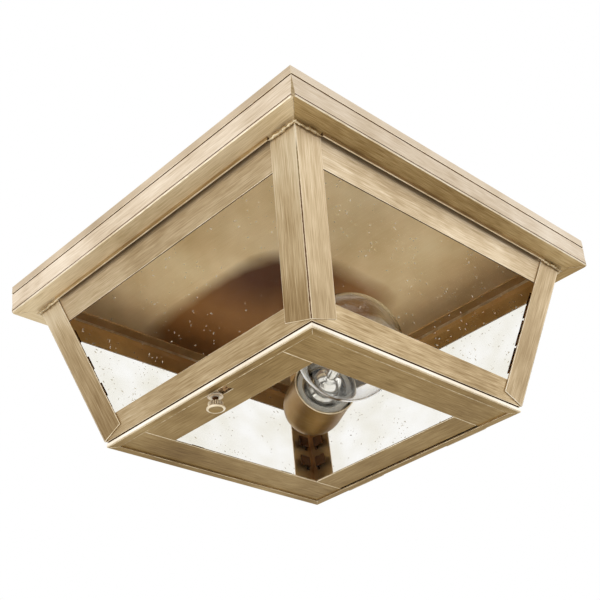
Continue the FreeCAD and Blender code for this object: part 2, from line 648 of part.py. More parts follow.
def socket_cup():
    """Spun brass cup with a beaded mouth and a round end."""
    hole = NIPPLE_R + NIPPLE_FIT
    bead = CUP_R + CUP_BEAD
    outside = cup_knee(0)
    inside = cup_knee(CUP_SHEET)
    floor = CUP_SHEET - CUP_LENGTH
    outside += [(hole, -CUP_LENGTH), (hole, floor)]
    inside = [point for point in inside if point[1] > floor] + [(CUP_END_R - CUP_SHEET, floor)]
    mouth = [(CUP_R - CUP_SHEET, 0), (bead, 0), (bead, -2 * CUP_BEAD), (CUP_R, -3 * CUP_BEAD)]
    return turned(mouth + outside + inside[::-1])


def lampholder():
    """Porcelain body standing on the nut inside the cup."""
    mouth = -HOLDER_RECESS
    bore = SHELL_R + SOLDER_GAP
    well = CONTACT_R + SOLDER_GAP
    pocket = NIPPLE_R + JOINT_GAP
    taper_r = CUP_END_R - CUP_SHEET
    return turned([(bore, mouth), (HOLDER_R - EDGE_BREAK, mouth), (HOLDER_R, mouth - EDGE_BREAK),
                   (HOLDER_R, -CUP_STRAIGHT), (taper_r, HOLDER_END), (pocket, HOLDER_END),
                   (pocket, HOLDER_END + NIPPLE_STICK_OUT), (0, HOLDER_END + NIPPLE_STICK_OUT),
                   (0, EYELET_END - CONTACT), (well, EYELET_END - CONTACT), (well, EYELET_END),
                   (bore, SHELL_END)])


def screw_shell():
    """Threaded brass liner of the lampholder."""
    mouth = -HOLDER_RECESS - EDGE_BREAK
    return rod(SHELL_R, SHELL_END, mouth).cut(rod(SHELL_R - SHELL_SHEET, SHELL_END - 1, mouth + 1))


def centre_contact():
    return rod(CONTACT_R, EYELET_END - CONTACT, EYELET_END)


def socket_nipple():
    """Short lamp pipe that clamps the cup to the strap."""
    low = STRAP_Z - STRAP - NUT - NIPPLE_STICK_OUT
    high = HOLDER_END + NIPPLE_STICK_OUT
    return rod(NIPPLE_R, low, high - SOLDER_GAP).cut(rod(NIPPLE_BORE_R, low - 1, high + 1))


def socket_nuts():
    """One nut inside the cup and one behind the strap."""
    bore = NIPPLE_R + NIPPLE_FIT
    back = STRAP_Z - STRAP
    return [hex_nut(HOLDER_END - NUT, HOLDER_END, bore), hex_nut(back - NUT, back, bore)]


# ---------------------------------------------------------------- bulb, drawn along its own axis
def bulb_outline(inset):
    """The envelope's points from neck to tip, moved in by a wall."""
    globe = BULB_R - inset
    sweep = BULB_SWEEP + inset
    out = BULB_NECK_R + BULB_SWEEP
    drop = math.sqrt((BULB_R + BULB_SWEEP) ** 2 - out ** 2)
    lean = math.degrees(math.atan2(drop, out))
    hollow = bend((out, BULB_CENTRE - drop), sweep, 180, 180 - lean, ARC_STEP / 2)
    ball = bend((0, BULB_CENTRE), globe, -lean, 90)
    return [(BULB_NECK_R - inset, -BULB_NECK_DEPTH)] + hollow + ball[1:-1] + [(0, BULB_CENTRE + globe)]


def bulb_glass():
    """Clear pear-shaped envelope, open at its neck."""
    return turned(bulb_outline(0) + bulb_outline(BULB_WALL)[::-1])


def bulb_cap():
    """Screw cap with a rolled thread."""
    root = CAP_R - THREAD_DEPTH
    inner = BULB_NECK_R + SOLDER_GAP
    top = -CAP_TOP
    outer = [(root, CAP_END)]
    for turn in range(THREAD_TURNS):
        crest = CAP_END + (turn + 1 / 2) * THREAD_PITCH
        outer += [(CAP_R, crest), (root, crest + THREAD_PITCH / 2)]
    outer += [(root, top - THREAD_DEPTH), (CAP_R, top - THREAD_DEPTH), (CAP_R, top)]
    wall = root - CAP_SHEET
    step = -BULB_NECK_DEPTH - CAP_SHEET
    return turned(outer + [(inner, top), (inner, step), (wall, step), (wall, CAP_END)])


def bulb_foot():
    """Glass insulator under the cap, with the eyelet that meets the contact."""
    wide = CAP_R - THREAD_DEPTH
    return turned([(0, CAP_END), (wide, CAP_END), (EYELET_R + EDGE_BREAK, FOOT_END), (EYELET_R, FOOT_END),
                   (EYELET_R - EDGE_BREAK, EYELET_END), (0, EYELET_END)])


def bulb_stem():
    """Flared glass stem sealed in the neck."""
    low = -BULB_NECK_DEPTH
    cone = low + STEM_FLARE
    rod_low = cone + STEM_CONE
    rod_high = rod_low + STEM_ROD
    flare = BULB_NECK_R - BULB_WALL - SOLDER_GAP
    return turned([(0, low), (flare, low), (flare, low + BULB_WALL), (STEM_R, cone), (STEM_TOP_R, rod_low),
                   (STEM_TOP_R, rod_high), (0, rod_high)])


def filament():
    """Two lead wires and the coil slung between them."""
    low = -BULB_NECK_DEPTH + STEM_FLARE + STEM_CONE + STEM_ROD
    high = low + LEAD_HEIGHT
    dip = FreeCAD.Vector(0, 0, high - COIL_SAG)
    wires = []
    for side in (-1, 1):
        foot = FreeCAD.Vector(side * LEAD_START, 0, low)
        tip = FreeCAD.Vector(side * LEAD_SPREAD, 0, high)
        inward = (dip - tip).normalize() * LEAD_R
        wires.append(Part.makeCylinder(LEAD_R, (tip - foot).Length, foot, tip - foot))
        wires.append(Part.makeCylinder(COIL_R, (dip - tip).Length + LEAD_R, tip - inward, dip - tip))
    return wires[0].fuse(wires[1:]).cut(rod(STEM_TOP_R, low - STEM_ROD, low))


# ---------------------------------------------------------------- build
def build():
    os.makedirs("parts", exist_ok=True)
    save("ceiling_pan", ceiling_pan())
    for side, degrees in SIDES.items():
        save(f"canopy_moulding_{side}", turn_about_z(canopy_moulding(), degrees))
        save(f"top_rail_{side}", turn_about_z(top_rail(), degrees))
        save(f"bottom_rail_{side}", turn_about_z(bottom_rail(), degrees))
        save(f"side_glass_{side}", turn_about_z(side_glass(), degrees))
        save(f"door_rim_{side}", turn_about_z(door_rim(), degrees))
    strips = {"front": front_door_strip(), "right": side_door_strip(),
              "back": cross_door_strip(BACK_STRIP_GAP), "left": side_door_strip()}
    for side, strip in strips.items():
        save(f"door_strip_{side}", turn_about_z(strip, SIDES[side]))
    for corner, degrees in CORNERS.items():
        save(f"corner_post_{corner}", turn_about_z(corner_post(), degrees))
    save("glass_clips", *glass_clips())
    save("door_glass", door_glass())
    save("door_glass_clips", *door_glass_clips())
    for side, centre in (("left", -HINGE_CENTRE), ("right", HINGE_CENTRE)):
        save(f"cage_hinge_leaf_{side}", cage_hinge_leaf(centre))
        save(f"door_hinge_leaf_{side}", door_hinge_leaf(centre))
        save(f"hinge_pin_{side}", hinge_pin(centre))
    save("latch_tab", latch_tab())
    save("screw_washer", screw_washer())
    save("thumb_screw", thumb_screw())
    save("crossbar", crossbar())
    save("ground_screw", ground_screw())
    save("middle_nipple", middle_nipple())
    save("spacer_nut", spacer_nut())
    save("lock_nut", lock_nut())
    for name, solids in {"socket_strap": [socket_strap()], "socket_cup": [socket_cup()],
                         "lampholder": [lampholder()], "screw_shell": [screw_shell()],
                         "centre_contact": [centre_contact()], "socket_nipple": [socket_nipple()],
                         "socket_nuts": socket_nuts(), "bulb_glass": [bulb_glass()],
                         "bulb_cap": [bulb_cap()], "bulb_foot": [bulb_foot()],
                         "bulb_stem": [bulb_stem()], "filament": [filament()]}.items():
        save(name, *[on_socket_axis(solid) for solid in solids])


build()
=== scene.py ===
"""Looks of the porch ceiling lantern: brushed antique brass, seeded panes and a clear bulb, built round the
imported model. Blender works in metres here; the sizes are millimetres until MM turns them into metres."""
import json
import math

import bmesh
import bpy
from mathutils import Matrix, Vector

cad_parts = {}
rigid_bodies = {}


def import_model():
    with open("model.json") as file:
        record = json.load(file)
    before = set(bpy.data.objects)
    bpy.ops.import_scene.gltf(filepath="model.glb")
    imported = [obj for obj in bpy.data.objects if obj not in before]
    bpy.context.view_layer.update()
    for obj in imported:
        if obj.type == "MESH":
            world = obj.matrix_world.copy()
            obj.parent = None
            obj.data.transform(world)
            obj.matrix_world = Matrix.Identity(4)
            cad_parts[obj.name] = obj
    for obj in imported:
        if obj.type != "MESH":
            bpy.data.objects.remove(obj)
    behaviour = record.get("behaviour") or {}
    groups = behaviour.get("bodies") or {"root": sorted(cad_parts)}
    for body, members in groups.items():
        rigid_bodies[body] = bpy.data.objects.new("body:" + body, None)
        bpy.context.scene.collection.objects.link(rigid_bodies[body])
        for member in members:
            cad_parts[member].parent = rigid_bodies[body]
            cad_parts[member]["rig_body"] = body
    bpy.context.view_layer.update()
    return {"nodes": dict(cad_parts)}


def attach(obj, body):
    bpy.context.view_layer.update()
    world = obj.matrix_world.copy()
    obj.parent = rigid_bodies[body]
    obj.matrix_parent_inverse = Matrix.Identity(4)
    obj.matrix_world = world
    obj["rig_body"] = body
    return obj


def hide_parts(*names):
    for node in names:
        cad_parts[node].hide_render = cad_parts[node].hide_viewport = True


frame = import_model()
NODES = frame["nodes"]
MM = 0.001
SIDES = {"front": 0, "right": 90, "back": 180, "left": 270}
CORNERS = {"front_right": 0, "back_right": 90, "back_left": 180, "front_left": 270}

# ---------------------------------------- sizes shared with the part's source, in mm
SHEET = 0.8
Z_PAN = -5.35              # underside of the pan
Z_SOFFIT = -18.25
Z_CAGE = -105.7            # foot of the cage
CANOPY_HALF = 120.65
LIP_HALF = 110.2
LIP_DROP = 2.15
CAGE_TOP_HALF = 108.42
CAGE_BOTTOM_HALF = 81.42
SLOPE = (CAGE_TOP_HALF - CAGE_BOTTOM_HALF) / (Z_SOFFIT - Z_CAGE)
TILT = math.atan(SLOPE)
POST_WIDTH = 17.5
GLASS_FRONT = 1.65         # from the cage's face to a pane's front
GLASS = 2.3
PANE_FOOT = 0.35           # up the slope from the cage's foot
PANE_HEIGHT = 84.9
PANE_HALF_LOW = 74.3
DOOR_HALF = 80.5
LIP_INSIDE = DOOR_HALF - 5.0
Z_DOOR_FOOT = -109.05
Z_STRIP = -108.25          # underside of the door's strips
SCREW_Y = -71.0
SOCKET_TURN = -28.5        # the socket's axis points to the front right
SOCKET_MOUTH = (-8.5, 22.0)
Z_AXIS = -70.85

# ---------------------------------------- sizes of the scene's own detail, in mm
GLASS_AIR = 0.12           # between a door strip and the glass on it
CLIP_FINGER = 10.0         # a clip's finger end lies further than this from the cage's arris
CLIP_DRAWN = 2.2           # and is drawn out by this
SEED_SIZE = 0.30
SEEDS_PER_M2 = 42000.0
RUB_WIDTHS = {"canopy_moulding": 0.22, "top_rail": 0.12, "bottom_rail": 0.14, "door_rim": 0.38,
              "door_strip": 0.2}

# solder runs: length, radius and lumps a metre; the slot's beads: middle, length and radius
POST_RUN = (POST_WIDTH + 2.4, 1.15, 480.0)
MITRE_RUN = (12.4, 0.30, 380.0)
FASCIA_RUN = (Z_PAN - Z_SOFFIT, 0.42, 300.0)
RIM_RUN = (5.6, 0.32, 520.0)
LIP_RUN = (2 * LIP_INSIDE, 0.36, 160.0)
SLOT_LUMPS = 300.0
SLOT_BEADS = (((8.4, -73.6, Z_STRIP + 0.5), 7.0, 1.5), ((8.6, -71.2, Z_STRIP + 0.6), 6.0, 1.3),
              ((-5.2, -74.9, Z_STRIP - 0.1), 5.0, 0.6))


# ---------------------------------------- small helpers
def srgb(red, green, blue):
    """A colour picked on screen, 0 to 255, as the shaders want it."""
    def channel(value):
        share = value / 255
        return share / 12.92 if share <= 0.04045 else ((share + 0.055) / 1.055) ** 2.4
    return (channel(red), channel(green), channel(blue), 1.0)


def put(tree, kind, fill=(), **settings):
    """Add a node and fill its inputs with values or with other nodes' outputs."""
    made = tree.nodes.new(kind)
    for name, value in settings.items():
        setattr(made, name, value)
    for name, value in dict(fill).items():
        if isinstance(value, bpy.types.NodeSocket):
            tree.links.new(value, made.inputs[name])
        else:
            made.inputs[name].default_value = value
    return made


def maths(tree, how, *values):
    return put(tree, "ShaderNodeMath", dict(enumerate(values)), operation=how).outputs[0]


def ramp(tree, amount, stops):
    """Colour ramp from (place, colour) stops."""
    made = put(tree, "ShaderNodeValToRGB", {"Fac": amount})
    band = made.color_ramp
    while len(band.elements) < len(stops):
        band.elements.new(0.5)
    for element, (place, colour) in zip(band.elements, stops):
        element.position = place
        element.color = colour
    return made.outputs["Color"]


def span(tree, amount, low, high, to_low, to_high):
    """Map one range of a value to another."""
    fill = {"Value": amount, "From Min": low, "From Max": high, "To Min": to_low, "To Max": to_high}
    return put(tree, "ShaderNodeMapRange", fill).outputs[0]


def blend(tree, share, first, second):
    """Colour mix: none of the second at 0, all of it at 1."""
    return put(tree, "ShaderNodeMix", {0: share, 6: first, 7: second}, data_type="RGBA").outputs[2]


def split(tree, place):
    """The x, y and z of a place."""
    return put(tree, "ShaderNodeSeparateXYZ", {0: place}).outputs


def vector(tree, x=0.0, y=0.0, z=0.0):
    return put(tree, "ShaderNodeCombineXYZ", {0: x, 1: y, 2: z}).outputs[0]


def speckle(tree, place, scale, detail=2.0, rough=0.5):
    """Soft noise from 0 to 1."""
    fill = {"Vector": place, "Scale": scale, "Detail": detail, "Roughness": rough}
    return put(tree, "ShaderNodeTexNoise", fill).outputs["Fac"]


def finish_of(name):
    """A new material with its shader: (material, tree, shader, object coordinates)."""
    material = bpy.data.materials.new(name)
    material.use_nodes = True
    tree = material.node_tree
    tree.nodes.clear()
    shader = put(tree, "ShaderNodeBsdfPrincipled")
    put(tree, "ShaderNodeOutputMaterial", {"Surface": shader.outputs[0]})
    place = put(tree, "ShaderNodeTexCoord").outputs["Object"]
    return material, tree, shader, place


def set_shader(shader, **values):
    for name, value in values.items():
        shader.inputs[name.replace("_", " ")].default_value = value


def bump(tree, shader, height, strength, depth):
    fill = {"Height": height, "Strength": strength, "Distance": depth}
    tree.links.new(put(tree, "ShaderNodeBump", fill).outputs[0], shader.inputs["Normal"])


# ---------------------------------------- brushed antique brass
TONES = {
    "mid": ((128, 102, 64), (160, 136, 98), (184, 161, 124), (214, 196, 164)),
    "light": ((160, 136, 102), (188, 167, 134), (206, 187, 157), (230, 216, 192)),
    "warm": ((152, 128, 92), (178, 156, 121), (196, 175, 142), (222, 206, 178)),
    "tray": ((146, 122, 84), (164, 140, 102), (175, 152, 114), (194, 173, 136)),
    "band": ((158, 136, 106), (186, 166, 138), (204, 185, 158), (226, 212, 190)),
    # the fascia is painted pale, as lit
    "fascia": ((178, 155, 126), (208, 189, 162), (223, 206, 183), (240, 227, 207)),
    "pale": ((188, 166, 136), (214, 196, 170), (228, 212, 190), (242, 231, 214)),
    # the rim's side wall painted near white, as a highlight
    "wall": ((214, 196, 168), (240, 228, 208), (250, 243, 230), (255, 251, 244)),
    "olive": ((136, 112, 72), (166, 143, 102), (184, 163, 122), (208, 190, 152)),
    # the soffit painted lighter, as lit, and brown for a soffit in shade
    "soffit": ((190, 166, 125), (218, 198, 160), (232, 214, 180), (246, 232, 204)),
    "brown": ((122, 92, 48), (168, 140, 92), (192, 166, 118), (220, 198, 156)),
    "strip": ((108, 80, 36), (140, 112, 62), (160, 132, 81), (192, 166, 116)),
    "smooth": ((220, 186, 136), (238, 209, 162), (247, 222, 178), (255, 238, 202)),
    "spun": ((98, 60, 18), (134, 95, 42), (154, 117, 60), (196, 164, 106)),
}
STOPS = (0.18, 0.42, 0.58, 0.84)
ALONG = 80.0               # noise cells a metre along the brush marks
ACROSS = 2300.0            # and across them
CALM = ("smooth", "pale", "wall", "band", "spun", "tray")     # tones whose brush marks hardly show
DULL = ("soffit", "brown")
# a post's tones go darker at the foot and lighter at the top
POST_FADE = {"mid": (-0.24, 0.34), "warm": (-0.14, 0.08), "olive": (-0.24, 0.34)}
# wear and painted light down a post's arris, in metres: off the arris, then heights
ARRIS_RAGGED = 0.0007
ARRIS_BRIGHT = (0.0007, 0.0014)
ARRIS_JOINT = (0.00035, 0.00055)
JOINT_SHADE_BELOW = (-0.044, -0.049)
JOINT_HIGHLIGHT_ABOVE = (-0.032, -0.026)


def brush_flow(tree, place, grain):
    """Coordinates and their scale, so that noise runs along the brush marks."""
    if grain == "x":
        return place, (ALONG, ACROSS, ACROSS)
    if grain == "y":
        return place, (ACROSS, ALONG, ACROSS)
    if grain == "spun":
        back = (0, 0, -math.radians(SOCKET_TURN))
        turned = put(tree, "ShaderNodeMapping", {"Vector": place, "Rotation": back})
        return turned.outputs[0], (ACROSS, ALONG, ALONG)
    if grain == "upright":
        return place, (ALONG, ALONG, ACROSS)
    x, y, z = split(tree, place)
    lean = maths(tree, "MULTIPLY", z, SLOPE)
    flat_x, flat_y = [maths(tree, "SUBTRACT", maths(tree, "ABSOLUTE", part), lean) for part in (x, y)]
    return vector(tree, flat_x, flat_y, z), (ACROSS, ACROSS, ALONG)


def arris_wear_and_light(tree, place, colour):
    """A post's arris: two folded edges painted bright, as wear and as a highlight, and between them the
    crease, painted pale as a highlight at the top, then olive, and brown as shade below."""
    x, y, z = split(tree, place)
    apart = maths(tree, "SUBTRACT", maths(tree, "ABSOLUTE", x), maths(tree, "ABSOLUTE", y))
    apart = maths(tree, "SUBTRACT", maths(tree, "ABSOLUTE", apart), ARRIS_RAGGED / 2)
    ragged = maths(tree, "MULTIPLY_ADD", speckle(tree, place, 700.0), ARRIS_RAGGED, apart)
    # the arris's two edges painted bright: wear and a painted highlight
    colour = blend(tree, span(tree, ragged, *ARRIS_BRIGHT, 0.55, 0.0), colour, srgb(232, 216, 186))
    # the crease: painted shade below, painted highlight at the top
    joint = blend(tree, span(tree, z, *JOINT_SHADE_BELOW, 0.0, 1.0), srgb(140, 119, 80), srgb(92, 56, 24))
    joint = blend(tree, span(tree, z, *JOINT_HIGHLIGHT_ABOVE, 0.0, 1.0), joint, srgb(240, 226, 200))
    return blend(tree, span(tree, ragged, *ARRIS_JOINT, 0.95, 0.0), colour, joint)


def brass(tone, grain):
    """Brushed brass, darkened by hand: fine brush lines, wider bands and cloudy patina. Each tone is made
    once for each way of the brush."""
    name = f"brass_{tone}_{grain}"
    if name in bpy.data.materials:
        return bpy.data.materials[name]
    material, tree, shader, place = finish_of(name)
    flow, scale = brush_flow(tree, place, grain)
    coarse = [cells / 4 for cells in scale]
    fine, wide = [put(tree, "ShaderNodeMapping", {"Vector": flow, "Scale": cells}).outputs[0]
                  for cells in (scale, coarse)]
    lines = speckle(tree, fine, 1.0, 3.0, 0.6)
    bands = speckle(tree, wide, 1.0)
    clouds = speckle(tree, place, 17.0, 3.0, 0.6)
    calm = 0.3 if tone in CALM else 1.0
    weights = (0.80 * calm, 0.25 * calm, 0.8)
    mixed = 0.5 - sum(weights) / 2
    for noise, weight in zip((lines, bands, clouds), weights):
        mixed = maths(tree, "MULTIPLY_ADD", noise, weight, mixed)
    if grain == "post":
        fade = span(tree, split(tree, place)[2], Z_CAGE * MM, Z_SOFFIT * MM, *POST_FADE[tone])
        mixed = maths(tree, "ADD", mixed, fade)
    colour = ramp(tree, mixed, [(stop, srgb(*shade)) for stop, shade in zip(STOPS, TONES[tone])])
    if grain == "post":
        colour = arris_wear_and_light(tree, place, colour)
    # the rim wall's painted highlight fades to a darker tone towards its foot
    if tone == "wall":
        above, below = (Z_DOOR_FOOT + 0.9) * MM, (Z_DOOR_FOOT + 0.5) * MM
        low = span(tree, split(tree, place)[2], above, below, 0.0, 0.7)
        colour = blend(tree, low, colour, srgb(176, 150, 110))
    tree.links.new(colour, shader.inputs["Base Color"])
    broad = 0.16 if tone in DULL else 0.0
    tree.links.new(span(tree, mixed, 0.2, 0.8, 0.50 + broad, 0.34 + broad), shader.inputs["Roughness"])
    set_shader(shader, Metallic=0.85)
    bump(tree, shader, lines, 0.10 * calm, 0.00025)
    return material


def plain_metal(name, dark, light, rough, scale, metallic=1.0, gloss=0.5):
    """Cast, plated or painted metal, or porcelain, with mottled colour and roughness."""
    material, tree, shader, place = finish_of(name)
    spots = speckle(tree, place, scale, 4.0, 0.6)
    clouds = speckle(tree, place, scale / 7)
    mixed = maths(tree, "MULTIPLY_ADD", spots, 0.5, maths(tree, "MULTIPLY", clouds, 0.5))
    colour = ramp(tree, mixed, [(0.36, srgb(*dark)), (0.62, srgb(*light))])
    tree.links.new(colour, shader.inputs["Base Color"])
    tree.links.new(span(tree, mixed, 0.3, 0.7, *rough), shader.inputs["Roughness"])
    set_shader(shader, Metallic=metallic, Specular_IOR_Level=gloss)
    bump(tree, shader, spots, 0.15, 0.0002)
    return material


def glass(name, tint, waves, ripple, bend):
    """Clear glass with a faint rolled unevenness; bend is its refraction."""
    material, tree, shader, place = finish_of(name)
    wavy = speckle(tree, place, waves)
    tree.links.new(ramp(tree, wavy, [(0.3, srgb(*tint)), (0.7, (1, 1, 1, 1))]), shader.inputs["Base Color"])
    tree.links.new(span(tree, wavy, 0.35, 0.75, 0.0, 0.02), shader.inputs["Roughness"])
    set_shader(shader, Transmission_Weight=1.0, IOR=bend)
    bump(tree, shader, wavy, ripple, 0.0004)
    return material


# worn edges, painted bright also as highlights
WORN_AND_LIT_EDGE = plain_metal("brass_worn_and_highlit_edge", (218, 198, 160), (255, 244, 222), (0.5, 0.36), 260.0, 0.75)
# painted shade: near-black for grooves, creases, faces turned down and the screw's neck
PAINTED_SHADE = plain_metal("brass_painted_shade", (56, 32, 14), (104, 68, 38), (0.8, 0.7), 300.0, 0.0, gloss=0.0)
# clips painted near-black: their own dark tone and the shade they sit in
CLIP_DARK = plain_metal("brass_dark_clips_and_shade", (66, 36, 16), (112, 76, 42), (0.8, 0.7), 260.0, 0.0, gloss=0.04)
SOLDER = plain_metal("solder_brushed_over", (150, 126, 88), (226, 210, 178), (0.45, 0.25), 420.0)
# solder painted brown, also standing for shade
SOLDER_BROWN = plain_metal("solder_brown_in_shade", (120, 84, 44), (176, 140, 96), (0.5, 0.35), 420.0, 0.7)
BRASS_INSIDE = plain_metal("brass_inside_raw", (196, 156, 102), (220, 184, 130), (0.5, 0.4), 60.0, 0.45,
                           gloss=0.2)
ZINC = plain_metal("zinc_plated_steel", (132, 134, 138), (196, 196, 192), (0.42, 0.26), 160.0)
BULB_METAL = plain_metal("bulb_cap_metal", (168, 166, 160), (222, 220, 214), (0.32, 0.2), 200.0)
TUNGSTEN = plain_metal("tungsten_wire", (70, 70, 72), (140, 138, 134), (0.45, 0.3), 600.0)
GROUND_GREEN = plain_metal("ground_screw_green", (16, 74, 34), (44, 126, 66), (0.4, 0.3), 240.0, 0.2)
BLACK_GLASS = plain_metal("black_foot_glass", (8, 8, 10), (30, 30, 32), (0.2, 0.1), 300.0, 0.0)
PORCELAIN = plain_metal("glazed_porcelain", (236, 232, 220), (250, 248, 242), (0.22, 0.12), 120.0, 0.0)
SEEDED_GLASS = glass("seeded_glass_pane", (243, 241, 233), 45.0, 0.06, 1.02)
DOOR_GLASS = glass("door_glass_clear", (243, 241, 234), 24.0, 0.02, 1.02)
BULB_GLASS = glass("bulb_glass_clear", (252, 252, 252), 40.0, 0.03, 1.42)

# the painted shadow and reflection on the pan's underside:
SHADE_PATCH = ((-0.054, 0.071), (0.024, 0.057))      # middle and half size along x and y, in metres
# where the painted shadow is darkest
SHADE_MIDDLE = (-0.010, -0.014, Z_PAN * MM)


def pan_underside():
    """The plate over the lamp: smooth tan, with a squarish patch of painted shadow and reflection of the
    socket, bulb and dark inside, darkest near its middle.
    """
    material = brass("smooth", "x").copy()
    material.name = "brass_pan_underside"
    tree = material.node_tree
    shader = next(node for node in tree.nodes if node.type == "BSDF_PRINCIPLED")
    colour = shader.inputs["Base Color"].links[0].from_socket
    place = next(node for node in tree.nodes if node.type == "TEX_COORD").outputs["Object"]
    reach = -0.25
    for across, (middle, half) in zip(split(tree, place), SHADE_PATCH):
        share = maths(tree, "MULTIPLY_ADD", across, 1 / half, -middle / half)
        reach = maths(tree, "ADD", reach, maths(tree, "POWER", maths(tree, "ABSOLUTE", share), 4.0))
    uneven = maths(tree, "MULTIPLY_ADD", speckle(tree, place, 26.0, 3.0), 0.5, reach)
    share = span(tree, uneven, 0.55, 1.35, 0.95, 0.0)
    away = put(tree, "ShaderNodeVectorMath", {0: place, 1: SHADE_MIDDLE}, operation="DISTANCE")
    near_to_far = span(tree, away.outputs["Value"], 0.016, 0.052, 0.0, 1.0)
    # painted shadow and reflection: darkest near its middle, lighter further out
    shade_colour = blend(tree, near_to_far, srgb(84, 36, 12), srgb(148, 98, 48))
    tree.links.new(blend(tree, share, colour, shade_colour), shader.inputs["Base Color"])
    set_shader(shader, Metallic=0.35, Specular_IOR_Level=0.1)
    return material


def seed_finish():
    """Air caught in the panes, painted as small pale marks that stand for the bubbles' highlights."""
    material, tree, shader, place = finish_of("glass_seeds")
    spots = speckle(tree, place, 900.0)
    pale = ramp(tree, spots, [(0.3, srgb(228, 218, 196)), (0.7, srgb(255, 252, 244))])
    tree.links.new(pale, shader.inputs["Base Color"])
    set_shader(shader, Transmission_Weight=0.72, Roughness=0.1, IOR=1.12)
    return material


def stem_finish():
    """Pearly glass of the bulb's stem, greyed in patches: painted reflections of the lantern's dark inside.
    """
    material, tree, shader, place = finish_of("bulb_stem_pearl")
    patches = speckle(tree, place, 130.0, 2.0, 0.6)
    tones = [(0.34, srgb(128, 124, 118)), (0.40, srgb(244, 241, 233)), (0.52, srgb(255, 254, 251))]
    tree.links.new(ramp(tree, patches, tones), shader.inputs["Base Color"])
    tree.links.new(span(tree, patches, 0.3, 0.7, 0.22, 0.08), shader.inputs["Roughness"])
    set_shader(shader, IOR=1.5, Metallic=0.85)
    return material


SEEDS = seed_finish()
STEM = stem_finish()


# ---------------------------------------- making meshes
def linked(name, mesh):
    piece = bpy.data.objects.new(name, mesh)
    bpy.context.scene.collection.objects.link(piece)
    return piece


def flatten(piece):
    """Turn the piece's modifiers into plain mesh."""
    depsgraph = bpy.context.evaluated_depsgraph_get()
    made = bpy.data.meshes.new_from_object(piece.evaluated_get(depsgraph), depsgraph=depsgraph)
    piece.modifiers.clear()
    piece.data = made


def settle(piece, body, slot_name, *stands_for):
    """Put a finished piece on its body and hide the nodes it stands for. The slot name is not used."""
    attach(piece, body)
    if stands_for:
        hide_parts(*stands_for)


def from_shape(name, shape, materials, smooth_angle=None):
    """A piece from a shape; smooth_angle, in degrees, shades it smooth up to that fold."""
    mesh = bpy.data.meshes.new(name)
    shape.to_mesh(mesh)
    shape.free()
    for material in materials:
        mesh.materials.append(material)
    if smooth_angle:
        mesh.shade_smooth()
        mesh.set_sharp_from_angle(angle=math.radians(smooth_angle))
    return linked(name, mesh)


def softened(node, materials, paint, width, sharpest=28, reshape=None, slot_name="antique_brass"):
    """A copy of a folded sheet piece, its outer edges rubbed round where they fold by more than sharpest
    degrees. Paint gives each face's material from its middle, in mm, and its normal; the second material goes
    on the bevels: worn edges, painted bright also as highlights. Reshape moves points before that."""
    shape = bmesh.new()
    shape.from_mesh(NODES[node].data)
    bmesh.ops.remove_doubles(shape, verts=shape.verts, dist=2e-6)
    bmesh.ops.dissolve_limit(shape, angle_limit=math.radians(1.5), verts=shape.verts, edges=shape.edges)
    if reshape:
        reshape(shape)
    weight = shape.edges.layers.float.new("bevel_weight_edge")
    for edge in shape.edges:
        if len(edge.link_faces) == 2 and edge.calc_face_angle_signed() > math.radians(sharpest):
            edge[weight] = 1.0
    for face in shape.faces:
        face.material_index = paint(face.calc_center_median() / MM, face.normal)
        face.smooth = False
    piece = from_shape(f"{node}_finished", shape, materials)
    worn_lit_bevel = piece.modifiers.new("worn_and_highlit_edges", "BEVEL")
    worn_lit_bevel.width = width * MM
    worn_lit_bevel.segments = 2
    worn_lit_bevel.limit_method = "WEIGHT"
    worn_lit_bevel.material = EDGE
    worn_lit_bevel.use_clamp_overlap = True
    flatten(piece)
    settle(piece, NODES[node]["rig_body"], slot_name, node)


def arc(centre, radius, start, end, count):
    """(radius, height) points round an arc, degrees."""
    angles = [math.radians(start + (end - start) * step / count) for step in range(count + 1)]
    return [(centre[0] + radius * math.cos(a), centre[1] + radius * math.sin(a)) for a in angles]


def lathe(name, outline, materials, place, steps, closed=False, smooth_angle=32):
    """Turned piece from (radius, height) points in mm, put in place by a matrix. A closed outline comes back
    to its start; the others start and end on the axis."""
    shape = bmesh.new()
    rings = []
    for radius, height in outline:
        count = steps if radius > 1e-6 else 1
        turns = [2 * math.pi * step / steps for step in range(count)]
        rings.append([shape.verts.new((radius * MM * math.cos(a), radius * MM * math.sin(a), height * MM))
                      for a in turns])
    pairs = list(zip(rings, rings[1:])) + ([(rings[-1], rings[0])] if closed else [])
    for low, high in pairs:
        for step in range(steps):
            after = (step + 1) % steps
            around = ((low, step), (low, after), (high, after), (high, step))
            corners = list(dict.fromkeys(ring[turn % len(ring)] for ring, turn in around))
            if len(corners) > 2:
                shape.faces.new(corners)
    bmesh.ops.recalc_face_normals(shape, faces=shape.faces)
    bmesh.ops.transform(shape, matrix=place, verts=shape.verts)
    return from_shape(name, shape, materials, smooth_angle)


def tube(shape, path, radius, sides=8):
    """Add a round wire along a path, in mm, to a shape."""
    points = [Vector(point) for point in path]
    rings = []
    for index, point in enumerate(points):
        ahead = points[min(index + 1, len(points) - 1)] - points[max(index - 1, 0)]
        along = ahead.normalized()
        across = along.cross(Vector((0, 1, 0))).normalized()
        up = along.cross(across)
        turns = [2 * math.pi * side / sides for side in range(sides)]
        rings.append([shape.verts.new((point + radius * (across * math.cos(a) + up * math.sin(a))) * MM)
                      for a in turns])
    for low, high in zip(rings, rings[1:]):
        for side in range(sides):
            after = (side + 1) % sides
            shape.faces.new([low[side], low[after], high[after], high[side]])
    shape.faces.new(rings[0][::-1])
    shape.faces.new(rings[-1])


